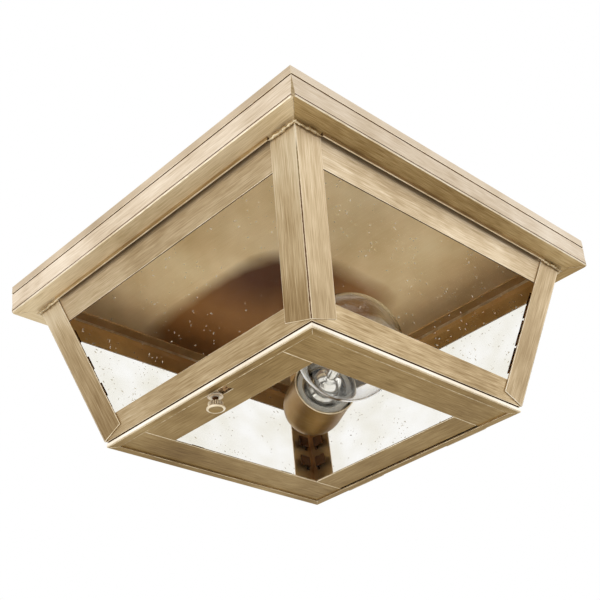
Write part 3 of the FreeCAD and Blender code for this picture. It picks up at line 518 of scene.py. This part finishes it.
def joined(name, pieces):
    """One mesh from several finished pieces, materials kept."""
    shape = bmesh.new()
    materials = []
    for piece in pieces:
        start = len(materials)
        materials += list(piece.data.materials)
        count = len(shape.faces)
        shape.from_mesh(piece.data)
        shape.faces.ensure_lookup_table()
        for face in shape.faces[count:]:
            face.material_index += start
        bpy.data.objects.remove(piece)
    mesh = bpy.data.meshes.new(name)
    shape.to_mesh(mesh)
    shape.free()
    for material in materials:
        mesh.materials.append(material)
    return linked(name, mesh)


# ---------------------------------------- places
def side_turn(side):
    return Matrix.Rotation(math.radians(SIDES[side]), 4, "Z")


def corner_turn(corner):
    return Matrix.Rotation(math.radians(CORNERS[corner]), 4, "Z")


def shift(x, y, z):
    return Matrix.Translation(Vector((x, y, z)) * MM)


def front_slope():
    """From a flat drawing (X along, Y up the slope, Z outwards) to the cage's front face."""
    return shift(0, -CAGE_BOTTOM_HALF, Z_CAGE) @ Matrix.Rotation(math.pi / 2 + TILT, 4, "X")


def socket_axis():
    """From a drawing with its axis on Z and the cup's mouth at 0 to the socket's place."""
    turn = math.radians(SOCKET_TURN)
    axis = Vector((math.cos(turn), math.sin(turn), 0))
    across = Vector((0, 0, 1)).cross(axis)
    place = Matrix((across, (0, 0, 1), axis)).transposed().to_4x4()
    return shift(SOCKET_MOUTH[0], SOCKET_MOUTH[1], Z_AXIS) @ place


# ---------------------------------------- growing what repeats
def growth(name, sizes):
    """An empty node tree with named sizes: (tree, its inputs by name, its output socket)."""
    tree = bpy.data.node_groups.new(name, "GeometryNodeTree")
    kinds = {float: "NodeSocketFloat", int: "NodeSocketInt", str: "NodeSocketMaterial"}
    for label, value in sizes.items():
        tree.interface.new_socket(label, in_out="INPUT", socket_type=kinds[type(value)])
    tree.interface.new_socket("Geometry", in_out="OUTPUT", socket_type="NodeSocketGeometry")
    enter = tree.nodes.new("NodeGroupInput").outputs
    leave = tree.nodes.new("NodeGroupOutput").inputs[0]
    return tree, enter, leave


def close_growth(tree, geometry, enter, leave):
    """Realise the copies and give them their material."""
    real = put(tree, "GeometryNodeRealizeInstances", {0: geometry}).outputs[0]
    done = put(tree, "GeometryNodeSetMaterial", {"Geometry": real, "Material": enter["Finish"]}).outputs[0]
    tree.links.new(done, leave)
    return tree


def grown(name, tree, values, place):
    """A plain mesh piece from a tree and its sizes, put in place by a matrix. A mirrored one is turned right
    side out again."""
    piece = linked(name, bpy.data.meshes.new(name))
    rule = piece.modifiers.new("growth", "NODES")
    rule.node_group = tree
    for item in tree.interface.items_tree:
        if item.item_type == "SOCKET" and item.in_out == "INPUT":
            rule[item.identifier] = values[item.name]
    flatten(piece)
    piece.data.transform(place)
    if place.determinant() < 0:
        piece.data.flip_normals()
    return piece


def place_of_points(tree):
    """The x, y and z of each point that a tree works on."""
    return split(tree, put(tree, "GeometryNodeInputPosition").outputs[0])


def chance_between(tree, low, high, seed):
    """A number for each point, drawn between two limits."""
    fill = {2: low, 3: high, "Seed": seed}
    return put(tree, "FunctionNodeRandomValue", fill, data_type="FLOAT").outputs[1]


def drawn_noise(tree, scale, detail, draw):
    """Soft noise that differs from draw to draw."""
    fill = {"Scale": scale, "Detail": detail, "W": draw}
    return put(tree, "ShaderNodeTexNoise", fill, noise_dimensions="4D").outputs[0]


def seeds_tree():
    """Elongated bubbles scattered in clusters through a tapered pane."""
    names = {"Half width at the foot": 0.0, "Taper": 0.0, "Height": 0.0, "Depth": 0.0, "Seeds": 0.0,
             "Seed size": 0.0, "Draw": 0, "Finish": ""}
    tree, enter, leave = growth("seeds_in_a_pane", names)
    height, foot, taper = enter["Height"], enter["Half width at the foot"], enter["Taper"]
    width = maths(tree, "MULTIPLY", maths(tree, "MULTIPLY_ADD", taper, height, foot), 2.0)
    fill = {"Size X": width, "Size Y": height, "Vertices X": 2, "Vertices Y": 2}
    sheet = put(tree, "GeometryNodeMeshGrid", fill).outputs[0]
    fill = {"Mesh": sheet, "Density": enter["Seeds"], "Seed": enter["Draw"]}
    scattered = put(tree, "GeometryNodeDistributePointsOnFaces", fill, distribute_method="RANDOM").outputs[0]

    x, y, z = place_of_points(tree)
    up = maths(tree, "MULTIPLY_ADD", height, 0.5, y)
    edge = maths(tree, "SUBTRACT", maths(tree, "MULTIPLY_ADD", taper, up, foot), 0.002)
    outside = maths(tree, "GREATER_THAN", maths(tree, "ABSOLUTE", x), edge)
    cluster = maths(tree, "MULTIPLY_ADD", chance_between(tree, 0.0, 1.0, 3), 0.24, 0.38)
    sparse = maths(tree, "GREATER_THAN", cluster, drawn_noise(tree, 38.0, 1.0, enter["Draw"]))
    fill = {"Geometry": scattered, "Selection": maths(tree, "MAXIMUM", outside, sparse)}
    kept = put(tree, "GeometryNodeDeleteGeometry", fill, domain="POINT").outputs[0]

    half = maths(tree, "MULTIPLY", enter["Depth"], 0.5)
    sink = chance_between(tree, maths(tree, "MULTIPLY", half, -1.0), half, 5)
    move = vector(tree, y=maths(tree, "MULTIPLY", height, 0.5), z=sink)
    placed = put(tree, "GeometryNodeSetPosition", {"Geometry": kept, "Offset": move}).outputs[0]
    size = maths(tree, "POWER", chance_between(tree, 0.58, 1.0, 7), 1.8)
    wide = maths(tree, "MULTIPLY", size, enter["Seed size"])
    long = maths(tree, "MULTIPLY", wide, chance_between(tree, 1.2, 3.6, 11))
    bubble = put(tree, "GeometryNodeMeshUVSphere", {"Segments": 8, "Rings": 5, "Radius": 1.0}).outputs[0]
    fill = {"Points": placed, "Instance": bubble, "Scale": vector(tree, long, wide, wide),
            "Rotation": vector(tree, z=chance_between(tree, -0.9, 1.3, 13))}
    copies = put(tree, "GeometryNodeInstanceOnPoints", fill).outputs[0]
    return close_growth(tree, copies, enter, leave)


def knurl_tree():
    """Small upright ridges round a screw's head."""
    names = {"Ridges": 0, "Radius": 0.0, "Ridge": 0.0, "Height": 0.0, "Finish": ""}
    tree, enter, leave = growth("knurled_band", names)
    fill = {"Vertices": enter["Ridges"], "Radius": enter["Radius"]}
    ring = put(tree, "GeometryNodeMeshCircle", fill).outputs[0]
    step = maths(tree, "DIVIDE", 2 * math.pi, enter["Ridges"])
    index = put(tree, "GeometryNodeInputIndex").outputs[0]
    turn = vector(tree, z=maths(tree, "MULTIPLY_ADD", index, step, math.pi / 4))
    size = vector(tree, enter["Ridge"], enter["Ridge"], enter["Height"])
    ridge = put(tree, "GeometryNodeMeshCube", {"Size": size}).outputs[0]
    fill = {"Points": ring, "Instance": ridge, "Rotation": turn}
    copies = put(tree, "GeometryNodeInstanceOnPoints", fill).outputs[0]
    return close_growth(tree, copies, enter, leave)


def wound(tree, curve, wire, sides):
    """A round wire along a curve."""
    section = put(tree, "GeometryNodeCurvePrimitiveCircle", {"Resolution": sides, "Radius": wire}).outputs[0]
    return put(tree, "GeometryNodeCurveToMesh", {"Curve": curve, "Profile Curve": section}).outputs[0]


def spiral(tree, steps, turns, radius, height):
    fill = {"Resolution": steps, "Rotations": turns, "Start Radius": radius, "End Radius": radius,
            "Height": height}
    return put(tree, "GeometryNodeCurveSpiral", fill).outputs[0]


def thread_tree():
    """A screw thread's ridge wound up a pipe."""
    names = {"Radius": 0.0, "Length": 0.0, "Turns": 0.0, "Ridge": 0.0, "Finish": ""}
    tree, enter, leave = growth("thread_ridge", names)
    line = spiral(tree, 32, enter["Turns"], enter["Radius"], enter["Length"])
    return close_growth(tree, wound(tree, line, enter["Ridge"], 4), enter, leave)


def coil_tree():
    """The filament's fine coil, sagging between its two wires."""
    names = {"Coil radius": 0.0, "Span": 0.0, "Sag": 0.0, "Turns": 0.0, "Wire": 0.0, "Finish": ""}
    tree, enter, leave = growth("filament_coil", names)
    line = spiral(tree, 12, enter["Turns"], enter["Coil radius"], enter["Span"])
    x, y, z = place_of_points(tree)
    share = maths(tree, "DIVIDE", z, enter["Span"])
    hang = maths(tree, "MULTIPLY", maths(tree, "MULTIPLY", share, maths(tree, "SUBTRACT", 1.0, share)), 4.0)
    drop = maths(tree, "MULTIPLY", hang, enter["Sag"])
    along = maths(tree, "SUBTRACT", z, maths(tree, "MULTIPLY", enter["Span"], 0.5))
    bent = vector(tree, along, y, maths(tree, "SUBTRACT", x, drop))
    hung = put(tree, "GeometryNodeSetPosition", {"Geometry": line, "Position": bent}).outputs[0]
    return close_growth(tree, wound(tree, hung, enter["Wire"], 5), enter, leave)


def solder_tree():
    """A lumpy run of solder, thick in places and thinning out at its ends."""
    names = {"Length": 0.0, "Radius": 0.0, "Lumps": 0.0, "Draw": 0.0, "Finish": ""}
    tree, enter, leave = growth("solder_run", names)
    fill = {"Vertices": 10, "Side Segments": 60, "Radius": enter["Radius"], "Depth": enter["Length"]}
    run = put(tree, "GeometryNodeMeshCylinder", fill).outputs[0]
    x, y, z = place_of_points(tree)
    share = maths(tree, "DIVIDE", z, maths(tree, "MULTIPLY", enter["Length"], 0.5))
    thin = maths(tree, "SUBTRACT", 1.02, maths(tree, "POWER", maths(tree, "ABSOLUTE", share), 3.0))
    lump = span(tree, drawn_noise(tree, enter["Lumps"], 2.0, enter["Draw"]), 0.32, 0.66, 0.3, 1.0)
    thick = maths(tree, "MULTIPLY", lump, maths(tree, "SQRT", thin))
    shaped = vector(tree, maths(tree, "MULTIPLY", x, thick), maths(tree, "MULTIPLY", y, thick), z)
    lumpy = put(tree, "GeometryNodeSetPosition", {"Geometry": run, "Position": shaped}).outputs[0]
    smooth = put(tree, "GeometryNodeSetShadeSmooth", {0: lumpy}).outputs[0]
    return close_growth(tree, smooth, enter, leave)


# ---------------------------------------- sheet brass
def grain_of(side):
    return "x" if side in ("front", "back") else "y"


FACE, EDGE, WALL, UNDER, SHADE_PAINT, INSIDE, BAND = range(7)        # a sheet piece's materials, in their order
LEVEL = 0.2                # a normal's share of up or down below which a face is a wall
STEEP = 0.9                # and above which it lies flat


def sheet_set(grain, face_tone, wall_tone, under_tone):
    """A folded sheet piece's materials, from FACE to INSIDE."""
    return [brass(face_tone, grain), WORN_AND_LIT_EDGE, brass(wall_tone, grain), brass(under_tone, grain), PAINTED_SHADE,
            BRASS_INSIDE]


def from_middle(place):
    """How far out a place lies on a square that is centred on the lantern."""
    return max(abs(place.x), abs(place.y))


def pan_paint(middle, normal):
    """The pan: edge band, pale at the sides, painted shade in the lower fold, smooth underside and brushed
    tray above.
    """
    if abs(normal.z) < LEVEL and from_middle(middle) > CANOPY_HALF - SHEET / 2:
        return BAND if abs(normal.y) > STEEP else WALL
    if normal.z < -STEEP:
        return UNDER
    # the lower fold's chamfer: painted shade in the groove
    if normal.z < -LEVEL:
        return SHADE_PAINT
    return INSIDE


def moulding_paint(middle, normal):
    """The moulding: fascia painted pale as lit, with painted shade in its fine groove, soffit, and a brushed
    lip. The lip's underside and the small ledge under the fascia are painted bright as highlights."""
    in_by = CANOPY_HALF - from_middle(middle)
    mitre = min(abs(normal.x), abs(normal.y)) > 0.4
    upright = abs(normal.z) < LEVEL
    underneath = normal.z < -STEEP and middle.z < Z_SOFFIT + 0.3
    groove_side = in_by < 1.0 and LEVEL < abs(normal.z) < STEEP and middle.z > Z_SOFFIT + 0.6
    if mitre:
        return FACE
    # the groove's sides: painted shade
    if groove_side:
        return SHADE_PAINT
    # the fascia painted pale as lit; the groove's inner wall painted shade
    if upright and in_by < 0.7:
        return WALL if in_by < 0.3 else SHADE_PAINT
    # the lip's underside painted bright as a highlight
    if underneath:
        return EDGE if middle.z < Z_SOFFIT - LIP_DROP / 2 else UNDER
    if middle.z < Z_SOFFIT:
        return FACE
    # the small ledge under the fascia painted bright as a highlight
    return EDGE if in_by < 1.5 else INSIDE


def rim_paint(middle, normal):
    """The door's rim: side wall painted bright as a highlight, dark brushed lip."""
    # the side wall: painted highlight
    if abs(normal.z) < LEVEL and from_middle(middle) > DOOR_HALF - 0.3:
        return WALL
    return UNDER if normal.z < -STEEP else FACE


def strip_paint(middle, normal):
    return UNDER if normal.z < -STEEP else FACE


def cage_paint(middle, normal):
    """Rails and posts: brushed outside, a lighter tone painted as light on the faces turned right and left,
    faces turned down painted dark as shade, raw inside.
    """
    outward = Vector((middle.x, middle.y, 0)).normalized().dot(normal)
    # faces turned down: painted shade
    if normal.z < -0.7:
        return SHADE_PAINT
    if outward <= -0.1:
        return INSIDE
    # faces turned right and left: a lighter tone, painted light
    return WALL if abs(normal.x) > 0.7 else FACE


def plain_paint(middle, normal):
    return FACE


def longer_fingers(shape):
    """Draw the clips' fingers out until their ends show beside the posts."""
    for vert in shape.verts:
        half = CAGE_BOTTOM_HALF + SLOPE * (vert.co.z / MM - Z_CAGE)
        axis = 0 if abs(vert.co.x) < abs(vert.co.y) else 1
        if half - abs(vert.co[axis]) / MM > CLIP_FINGER:
            vert.co[axis] -= math.copysign(CLIP_DRAWN * MM, vert.co[axis])


def clear_of_glass(shape):
    """Leave a hair of air between a door strip and the glass on it."""
    for vert in shape.verts:
        if vert.co.z > (Z_STRIP + SHEET / 2) * MM:
            vert.co.z -= GLASS_AIR * MM


def sheet_brass():
    """Every folded or flat metal piece, rubbed at its edges, which are painted bright as wear and as
    highlights.
    """
    pan_set = [brass("mid", "x"), WORN_AND_LIT_EDGE, brass("pale", "y"), pan_underside(), PAINTED_SHADE,
               brass("tray", "x"), brass("band", "x")]
    softened("ceiling_pan", pan_set, pan_paint, 0.12)
    for side in SIDES:
        grain = grain_of(side)
        # the soffits on the front and left are painted lighter, as lit, and those on the back and right
        # browner, as shade
        soffit = "soffit" if side in ("front", "left") else "brown"
        dress = {"canopy_moulding": (sheet_set(grain, "mid", "fascia", soffit), moulding_paint),
                 "top_rail": (sheet_set(grain, "warm", "light", "olive"), cage_paint),
                 "bottom_rail": (sheet_set(grain, "mid", "mid", "olive"), cage_paint),
                 "door_rim": (sheet_set(grain, "mid", "wall", "strip"), rim_paint),
                 "door_strip": (sheet_set(grain, "mid", "mid", "strip"), strip_paint)}
        for piece, (materials, paint) in dress.items():
            softened(f"{piece}_{side}", materials, paint, RUB_WIDTHS[piece],
                     reshape=clear_of_glass if piece == "door_strip" else None)
    post_set = sheet_set("post", "mid", "warm", "olive")
    for corner in CORNERS:
        softened(f"corner_post_{corner}", post_set, cage_paint, 0.3, sharpest=50)
    small = [brass("mid", "x"), WORN_AND_LIT_EDGE]
    for side in ("left", "right"):
        for leaf in ("cage", "door"):
            softened(f"{leaf}_hinge_leaf_{side}", small, plain_paint, 0.12)
    softened("latch_tab", small, plain_paint, 0.2)
    softened("socket_strap", [brass("smooth", "x"), WORN_AND_LIT_EDGE], plain_paint, 0.3)
    softened("screw_washer", [brass("pale", "x"), WORN_AND_LIT_EDGE], plain_paint, 0.15)
    for node, reshape in (("glass_clips", longer_fingers), ("door_glass_clips", None)):
        softened(node, [CLIP_DARK, PAINTED_SHADE], plain_paint, 0.12, reshape=reshape, slot_name="dark_brass")
    softened("crossbar", [ZINC, BULB_METAL], plain_paint, 0.25, slot_name="zinc_steel")


# ---------------------------------------- glass
def only_finish(node, material):
    """Give a node that isn't replaced its one material."""
    finishes = NODES[node].data.materials
    finishes.clear()
    finishes.append(material)


def panes():
    """Seeded side panes, each with its own draw of seeds, and the clear door pane."""
    tree = seeds_tree()
    for draw, side in enumerate(SIDES):
        only_finish(f"side_glass_{side}", SEEDED_GLASS)
        values = {"Half width at the foot": PANE_HALF_LOW * MM, "Taper": math.sin(TILT),
                  "Height": PANE_HEIGHT * MM, "Depth": 1.0 * MM, "Seeds": SEEDS_PER_M2,
                  "Seed size": SEED_SIZE * MM, "Draw": draw + 2, "Finish": SEEDS}
        place = side_turn(side) @ front_slope() @ shift(0, PANE_FOOT, -GLASS_FRONT - GLASS / 2)
        settle(grown(f"seeds_{side}", tree, values, place), "lantern", "seeded_glass")
    only_finish("door_glass", DOOR_GLASS)


# ---------------------------------------- thumb screw
def thumb_screw():
    """Turned screw with a knurled band, its grooves and neck painted dark as shade, and a wider, rounded rim.
    """
    tip, shoulder, neck, head, flange, end = -101.4, -109.05, -109.55, -112.1, -114.9, -116.1
    shank_r, crest_r, core_r, shoulder_r, neck_r, head_r, rim_r = 2.0, 2.06, 1.72, 3.1, 1.5, 3.72, 4.65
    turns, pitch, soft = 12, 0.58, 0.2
    outline = [(0, tip), (shank_r - 0.5, tip), (shank_r, tip - 0.5)]
    for turn in range(turns):
        ridge = tip - 0.8 - turn * pitch
        outline += [(crest_r, ridge), (core_r, ridge - pitch / 2)]
    outline += [(shank_r, shoulder), (shoulder_r - soft, shoulder), (shoulder_r, shoulder - 0.15),
                (shoulder_r, neck + 0.1), (shoulder_r - soft, neck), (neck_r + soft, neck),
                (neck_r, neck - 0.3), (neck_r, head + 0.35), (neck_r + 0.35, head), (head_r - 0.32, head),
                (head_r, head - soft), (head_r, flange + soft), (head_r - 0.22, flange + 0.05),
                (head_r - 0.22, flange), (rim_r, flange)]
    outline += arc((rim_r - 0.25, flange - 0.55), 0.55, 60, -60, 6)
    outline += [(rim_r - 0.45, end + 0.05), (3.8, end), (3.2, end + 0.12), (0, end + soft)]
    place = shift(0, SCREW_Y, 0)
    finishes = [brass("pale", "upright"), PAINTED_SHADE, WORN_AND_LIT_EDGE, brass("strip", "upright")]
    # index 1 paints shade between the ridges and under the head; index 2 paints the flat faces bright, as
    # wear and highlight
    dark, rubbed, dished = 1, 2, 3
    body = lathe("screw_body", outline, finishes, place, 72, smooth_angle=38)
    for face in body.data.polygons:
        level = face.center.z / MM
        radius = math.hypot(face.center.x, face.center.y - SCREW_Y * MM) / MM
        if flange + 0.1 < level < neck - 0.05 and radius < head_r + 0.05:
            face.material_index = dark
        elif level < end + 0.3 and radius < 3.6:
            face.material_index = dished
        elif abs(face.normal.z) > LEVEL:
            face.material_index = rubbed
    # the ridges painted bright, as wear and highlight
    values = {"Ridges": 26, "Radius": head_r * MM, "Ridge": 0.40 * MM, "Height": 2.5 * MM,
              "Finish": WORN_AND_LIT_EDGE}
    band = grown("screw_knurl", knurl_tree(), values, place @ shift(0, 0, (head + flange) / 2))
    settle(joined("thumb_screw_turned", [body, band]), "thumb_screw", "antique_brass", "thumb_screw")


# ---------------------------------------- socket
def cup():
    """Spun cup with a rolled bead round its mouth."""
    straight, length, side_r, end_r, wall, bead_r, hole_r = 26.0, 43.0, 18.25, 9.6, 0.8, 0.5, 5.19
    rise, run = length - straight, side_r - end_r
    knee_r = (rise ** 2 + run ** 2) / (2 * run)
    sweep = math.degrees(math.asin(rise / knee_r))
    knee = (side_r - knee_r, -straight)
    floor_z = wall - length
    outside = arc((side_r - 0.05, -bead_r), bead_r, 150, -80, 12)
    outside += [(side_r, -1.25), (side_r, -straight / 2)] + arc(knee, knee_r, 0, -sweep, 20)
    outside += [(hole_r, -length), (hole_r, floor_z)]
    inside = [point for point in arc(knee, knee_r - wall, 0, -sweep, 20) if point[1] > floor_z]
    inside = [(side_r - wall, -0.6)] + inside + [(end_r - wall, floor_z)]
    finishes = [brass("spun", "spun"), WORN_AND_LIT_EDGE]
    piece = lathe("socket_cup_spun", outside + inside[::-1], finishes, socket_axis(), 128, closed=True)
    to_drawing = socket_axis().inverted()
    # the rolled bead painted bright: worn, and a painted highlight
    for face in piece.data.polygons:
        if (to_drawing @ face.center).z > -(2 * bead_r + 0.05) * MM:
            face.material_index = EDGE
    settle(piece, "lantern", "antique_brass", "socket_cup")


def pipes():
    """The two lamp pipes, threaded."""
    tree = thread_tree()
    bore, root, crest, pitch, edge = 3.6, 4.82, 5.1, 0.94, 0.3
    ends = {"middle_nipple": (-11.45, 0.0, Matrix.Identity(4)),
            "socket_nipple": (-49.1, -37.65, socket_axis())}
    for node, (low, high, place) in ends.items():
        outline = [(bore, low), (root - edge, low), (root, low + edge), (root, high - edge),
                   (root - edge, high), (bore, high)]
        pipe = lathe(f"{node}_core", outline, [ZINC], place, 48, closed=True)
        length = high - low - 2 * edge
        values = {"Radius": root * MM, "Length": length * MM, "Turns": length / pitch,
                  "Ridge": (crest - root) * MM, "Finish": ZINC}
        ridge = grown(f"{node}_ridge", tree, values, place @ shift(0, 0, low + edge))
        settle(joined(f"{node}_threaded", [pipe, ridge]), "lantern", "zinc_steel", node)


# ---------------------------------------- bulb
def bulb():
    """Blown envelope, pearly stem, wires and coil."""
    globe_r, centre, neck_r, sweep_r, depth, wall = 30.0, 45.0, 12.45, 45.0, 9.0, 0.7
    coil_height = 38.0
    place = socket_axis()

    def envelope(inset):
        """The glass's outline, neck to top, moved in by an inset."""
        out = neck_r + sweep_r
        drop = math.sqrt((globe_r + sweep_r) ** 2 - out ** 2)
        lean = math.degrees(math.atan2(drop, out))
        hollow = arc((out, centre - drop), sweep_r + inset, 180, 180 - lean, 16)
        ball = arc((0, centre), globe_r - inset, -lean, 90, 44)
        return [(neck_r - inset, -depth)] + hollow + ball[1:-1] + [(0, centre + globe_r - inset)]

    outline = envelope(0) + envelope(wall)[::-1]
    blown = lathe("bulb_glass_blown", outline, [BULB_GLASS], place, 112, closed=True, smooth_angle=60)
    settle(blown, "bulb", "clear_glass", "bulb_glass")
    stem = [(0, -8.9), (10.4, -8.9), (11.6, -8.5), (11.6, -7.4), (11.2, -5.6), (9.9, -3.6), (8.6, -2.0)]
    stem += arc((0, 2.4), 8.4, -25, 66, 14) + [(3.1, 11.0), (3.1, 18.6), (2.6, 19.7), (1.5, 20), (0, 20)]
    drawn = lathe("bulb_stem_drawn", stem, [STEM], place, 72, smooth_angle=50)
    settle(drawn, "bulb", "clear_glass", "bulb_stem")
    wires = bmesh.new()
    for side in (-1, 1):
        lead = [(1.8, 12), (1.8, 20.5), (3.2, 23), (9.6, 35), (11, coil_height + 0.4)]
        support = [(0.6, 19.5), (0.7, 26), (1.1, 34.6)]
        for path, radius in ((lead, 0.35), (support, 0.16)):
            tube(wires, [(side * out, 0, height) for out, height in path], radius)
    leads = from_shape("filament_leads", wires, [TUNGSTEN], 50)
    leads.data.transform(place)
    values = {"Coil radius": 0.42 * MM, "Span": 22 * MM, "Sag": 3.0 * MM, "Turns": 46.0, "Wire": 0.1 * MM,
              "Finish": TUNGSTEN}
    coil = grown("filament_coil_part", coil_tree(), values, place @ shift(0, 0, coil_height))
    settle(joined("filament_wound", [leads, coil]), "bulb", "tungsten", "filament")


# ---------------------------------------- solder
def solder_run(name, tree, size, draw, place, finish=SOLDER):
    """One lumpy run of a length, radius and lumps a metre; draw picks its lumps."""
    length, radius, lumps = size
    values = {"Length": length * MM, "Radius": radius * MM, "Lumps": lumps, "Draw": draw, "Finish": finish}
    return grown(name, tree, values, place)


def solder():
    """On the lantern, runs over each post's two tops, at the soffit's mitres and up the fascia's corners. On
    the door, runs at the rim's corners, along its lip and in the screw's slot."""
    tree = solder_tree()
    lying = Matrix.Rotation(math.pi / 2, 4, "Y")
    across = Matrix.Rotation(-math.pi / 4, 4, "Z") @ lying
    mirrored = Matrix.Rotation(math.pi / 2, 4, "Z") @ Matrix.Scale(-1, 4, (0, 1, 0))
    over_post = shift(CAGE_TOP_HALF - POST_WIDTH / 2 + 0.6, 0.25 - (CAGE_TOP_HALF + LIP_HALF) / 2,
                      Z_SOFFIT - LIP_DROP + 0.3) @ lying
    mitre = (CANOPY_HALF + LIP_HALF) / 2 - 0.6
    fascia = CANOPY_HALF - 0.62
    rim = DOOR_HALF - 2.5
    under_door = Z_DOOR_FOOT + 0.08
    for draw, corner in enumerate(CORNERS):
        turn = corner_turn(corner)
        runs = [solder_run(f"run_{corner}_{part}", tree, POST_RUN, draw * 7.3 + part * 3.1,
                           turn @ flip @ over_post)
                for part, flip in enumerate((Matrix.Identity(4), mirrored))]
        runs.append(solder_run(f"mitre_{corner}", tree, MITRE_RUN, draw * 5.1 + 1.7,
                               turn @ shift(mitre, -mitre, Z_SOFFIT) @ across))
        runs.append(solder_run(f"fascia_{corner}", tree, FASCIA_RUN, draw * 2.9 + 0.4,
                               turn @ shift(fascia, -fascia, (Z_SOFFIT + Z_PAN) / 2)))
        settle(joined(f"solder_{corner}", runs), "lantern", "antique_brass")
        rim_run = solder_run(f"rim_solder_{corner}", tree, RIM_RUN, draw * 4.3 + 0.9,
                             turn @ shift(rim, -rim, under_door) @ across)
        settle(rim_run, "door", "antique_brass")
    lip = shift(0, -LIP_INSIDE - 0.05, under_door) @ lying
    seams = [solder_run(f"seam_{side}", tree, LIP_RUN, draw * 8.7 + 1.1, side_turn(side) @ lip)
             for draw, side in enumerate(SIDES)]
    settle(joined("lip_solder", seams), "door", "antique_brass")
    # solder in the screw's slot, its brown also painted shade
    beads = [solder_run(f"slot_bead_{draw}", tree, (length, radius, SLOT_LUMPS), draw * 6.1 + 2.2,
                        shift(*middle) @ lying, SOLDER_BROWN)
             for draw, (middle, length, radius) in enumerate(SLOT_BEADS)]
    settle(joined("slot_solder", beads), "door", "antique_brass")


# ---------------------------------------- pieces kept as the part's source has them
def kept_nodes():
    finishes = {"hinge_pin_left": brass("mid", "x"), "hinge_pin_right": brass("mid", "x"),
                "ground_screw": GROUND_GREEN, "spacer_nut": ZINC, "lock_nut": ZINC, "socket_nuts": ZINC,
                "lampholder": PORCELAIN, "screw_shell": BULB_METAL, "centre_contact": BULB_METAL,
                "bulb_cap": BULB_METAL, "bulb_foot": BLACK_GLASS}
    for node, material in finishes.items():
        only_finish(node, material)


# ---------------------------------------- studio
def floor():
    """Plain pale floor: a wide flat sheet well below the lantern."""
    material, tree, shader, place = finish_of("floor_pale")
    tones = [(0.3, srgb(229, 228, 225)), (0.7, srgb(232, 231, 228))]
    tree.links.new(ramp(tree, speckle(tree, place, 3.0, 3.0), tones), shader.inputs["Base Color"])
    set_shader(shader, Roughness=0.85)
    shape = bmesh.new()
    bmesh.ops.create_grid(shape, x_segments=8, y_segments=8, size=6.0)
    bmesh.ops.translate(shape, vec=(0, 0, -0.80), verts=shape.verts)
    from_shape("floor", shape, [material])


def world():
    """White to the camera, to gloss and through glass; a little softer for the rest."""
    sky = bpy.data.worlds.new("studio")
    bpy.context.scene.world = sky
    sky.use_nodes = True
    tree = sky.node_tree
    tree.nodes.clear()
    rays = put(tree, "ShaderNodeLightPath").outputs
    seen = maths(tree, "MAXIMUM", rays["Is Camera Ray"], rays["Is Glossy Ray"])
    seen = maths(tree, "MAXIMUM", seen, rays["Is Transmission Ray"])
    soft, white = [put(tree, "ShaderNodeBackground", {"Color": (1, 1, 1, 1), "Strength": strength}).outputs[0]
                   for strength in (0.85, 1.0)]
    both = put(tree, "ShaderNodeMixShader", {0: seen, 1: soft, 2: white}).outputs[0]
    put(tree, "ShaderNodeOutputWorld", {"Surface": both})


def soft_box(name, at, size, power):
    """A soft area lamp turned to the lantern's middle."""
    lamp = bpy.data.lights.new(name, "AREA")
    lamp.shape = "RECTANGLE"
    lamp.size, lamp.size_y = size
    lamp.energy = power
    holder = bpy.data.objects.new(name, lamp)
    bpy.context.scene.collection.objects.link(holder)
    holder.location = at
    holder.visible_camera = False
    holder.rotation_mode = "QUATERNION"
    lantern_middle = Vector((0, 0, -0.06))
    holder.rotation_quaternion = (lantern_middle - Vector(at)).to_track_quat("-Z", "Y")


def camera():
    """The photograph's view: from below the front right corner, looking up at 31 degrees, rolled a little."""
    look = Vector((-0.583931, 0.624247, 0.518981))
    head = Vector((0.425244, -0.309357, 0.850568))
    right = look.cross(head).normalized()
    head = right.cross(look)
    lens = bpy.data.cameras.new("camera")
    lens.lens = 67.135
    lens.sensor_width = 36.0
    lens.shift_x = -0.01071
    lens.shift_y = -0.00383
    lens.clip_start = 0.01
    holder = bpy.data.objects.new("camera", lens)
    bpy.context.scene.collection.objects.link(holder)
    place = Matrix((right, head, -look)).transposed().to_4x4()
    place.translation = (0.384984, -0.407936, -0.364682)
    holder.matrix_world = place
    bpy.context.scene.camera = holder


sheet_brass()
panes()
thumb_screw()
cup()
pipes()
bulb()
solder()
kept_nodes()
floor()
world()
soft_box("box_front_left", (-1.05, -1.0, 0.85), (1.3, 1.0), 1.4)
soft_box("box_back_right", (1.35, 0.95, 0.16), (1.5, 0.8), 2.6)
soft_box("box_low_front", (-0.3, -1.3, -0.62), (1.5, 0.5), 4.5)
soft_box("box_under", (0.0, 0.0, -0.78), (1.6, 1.6), 2.8)
camera()
bpy.context.scene.view_settings.view_transform = "Standard"
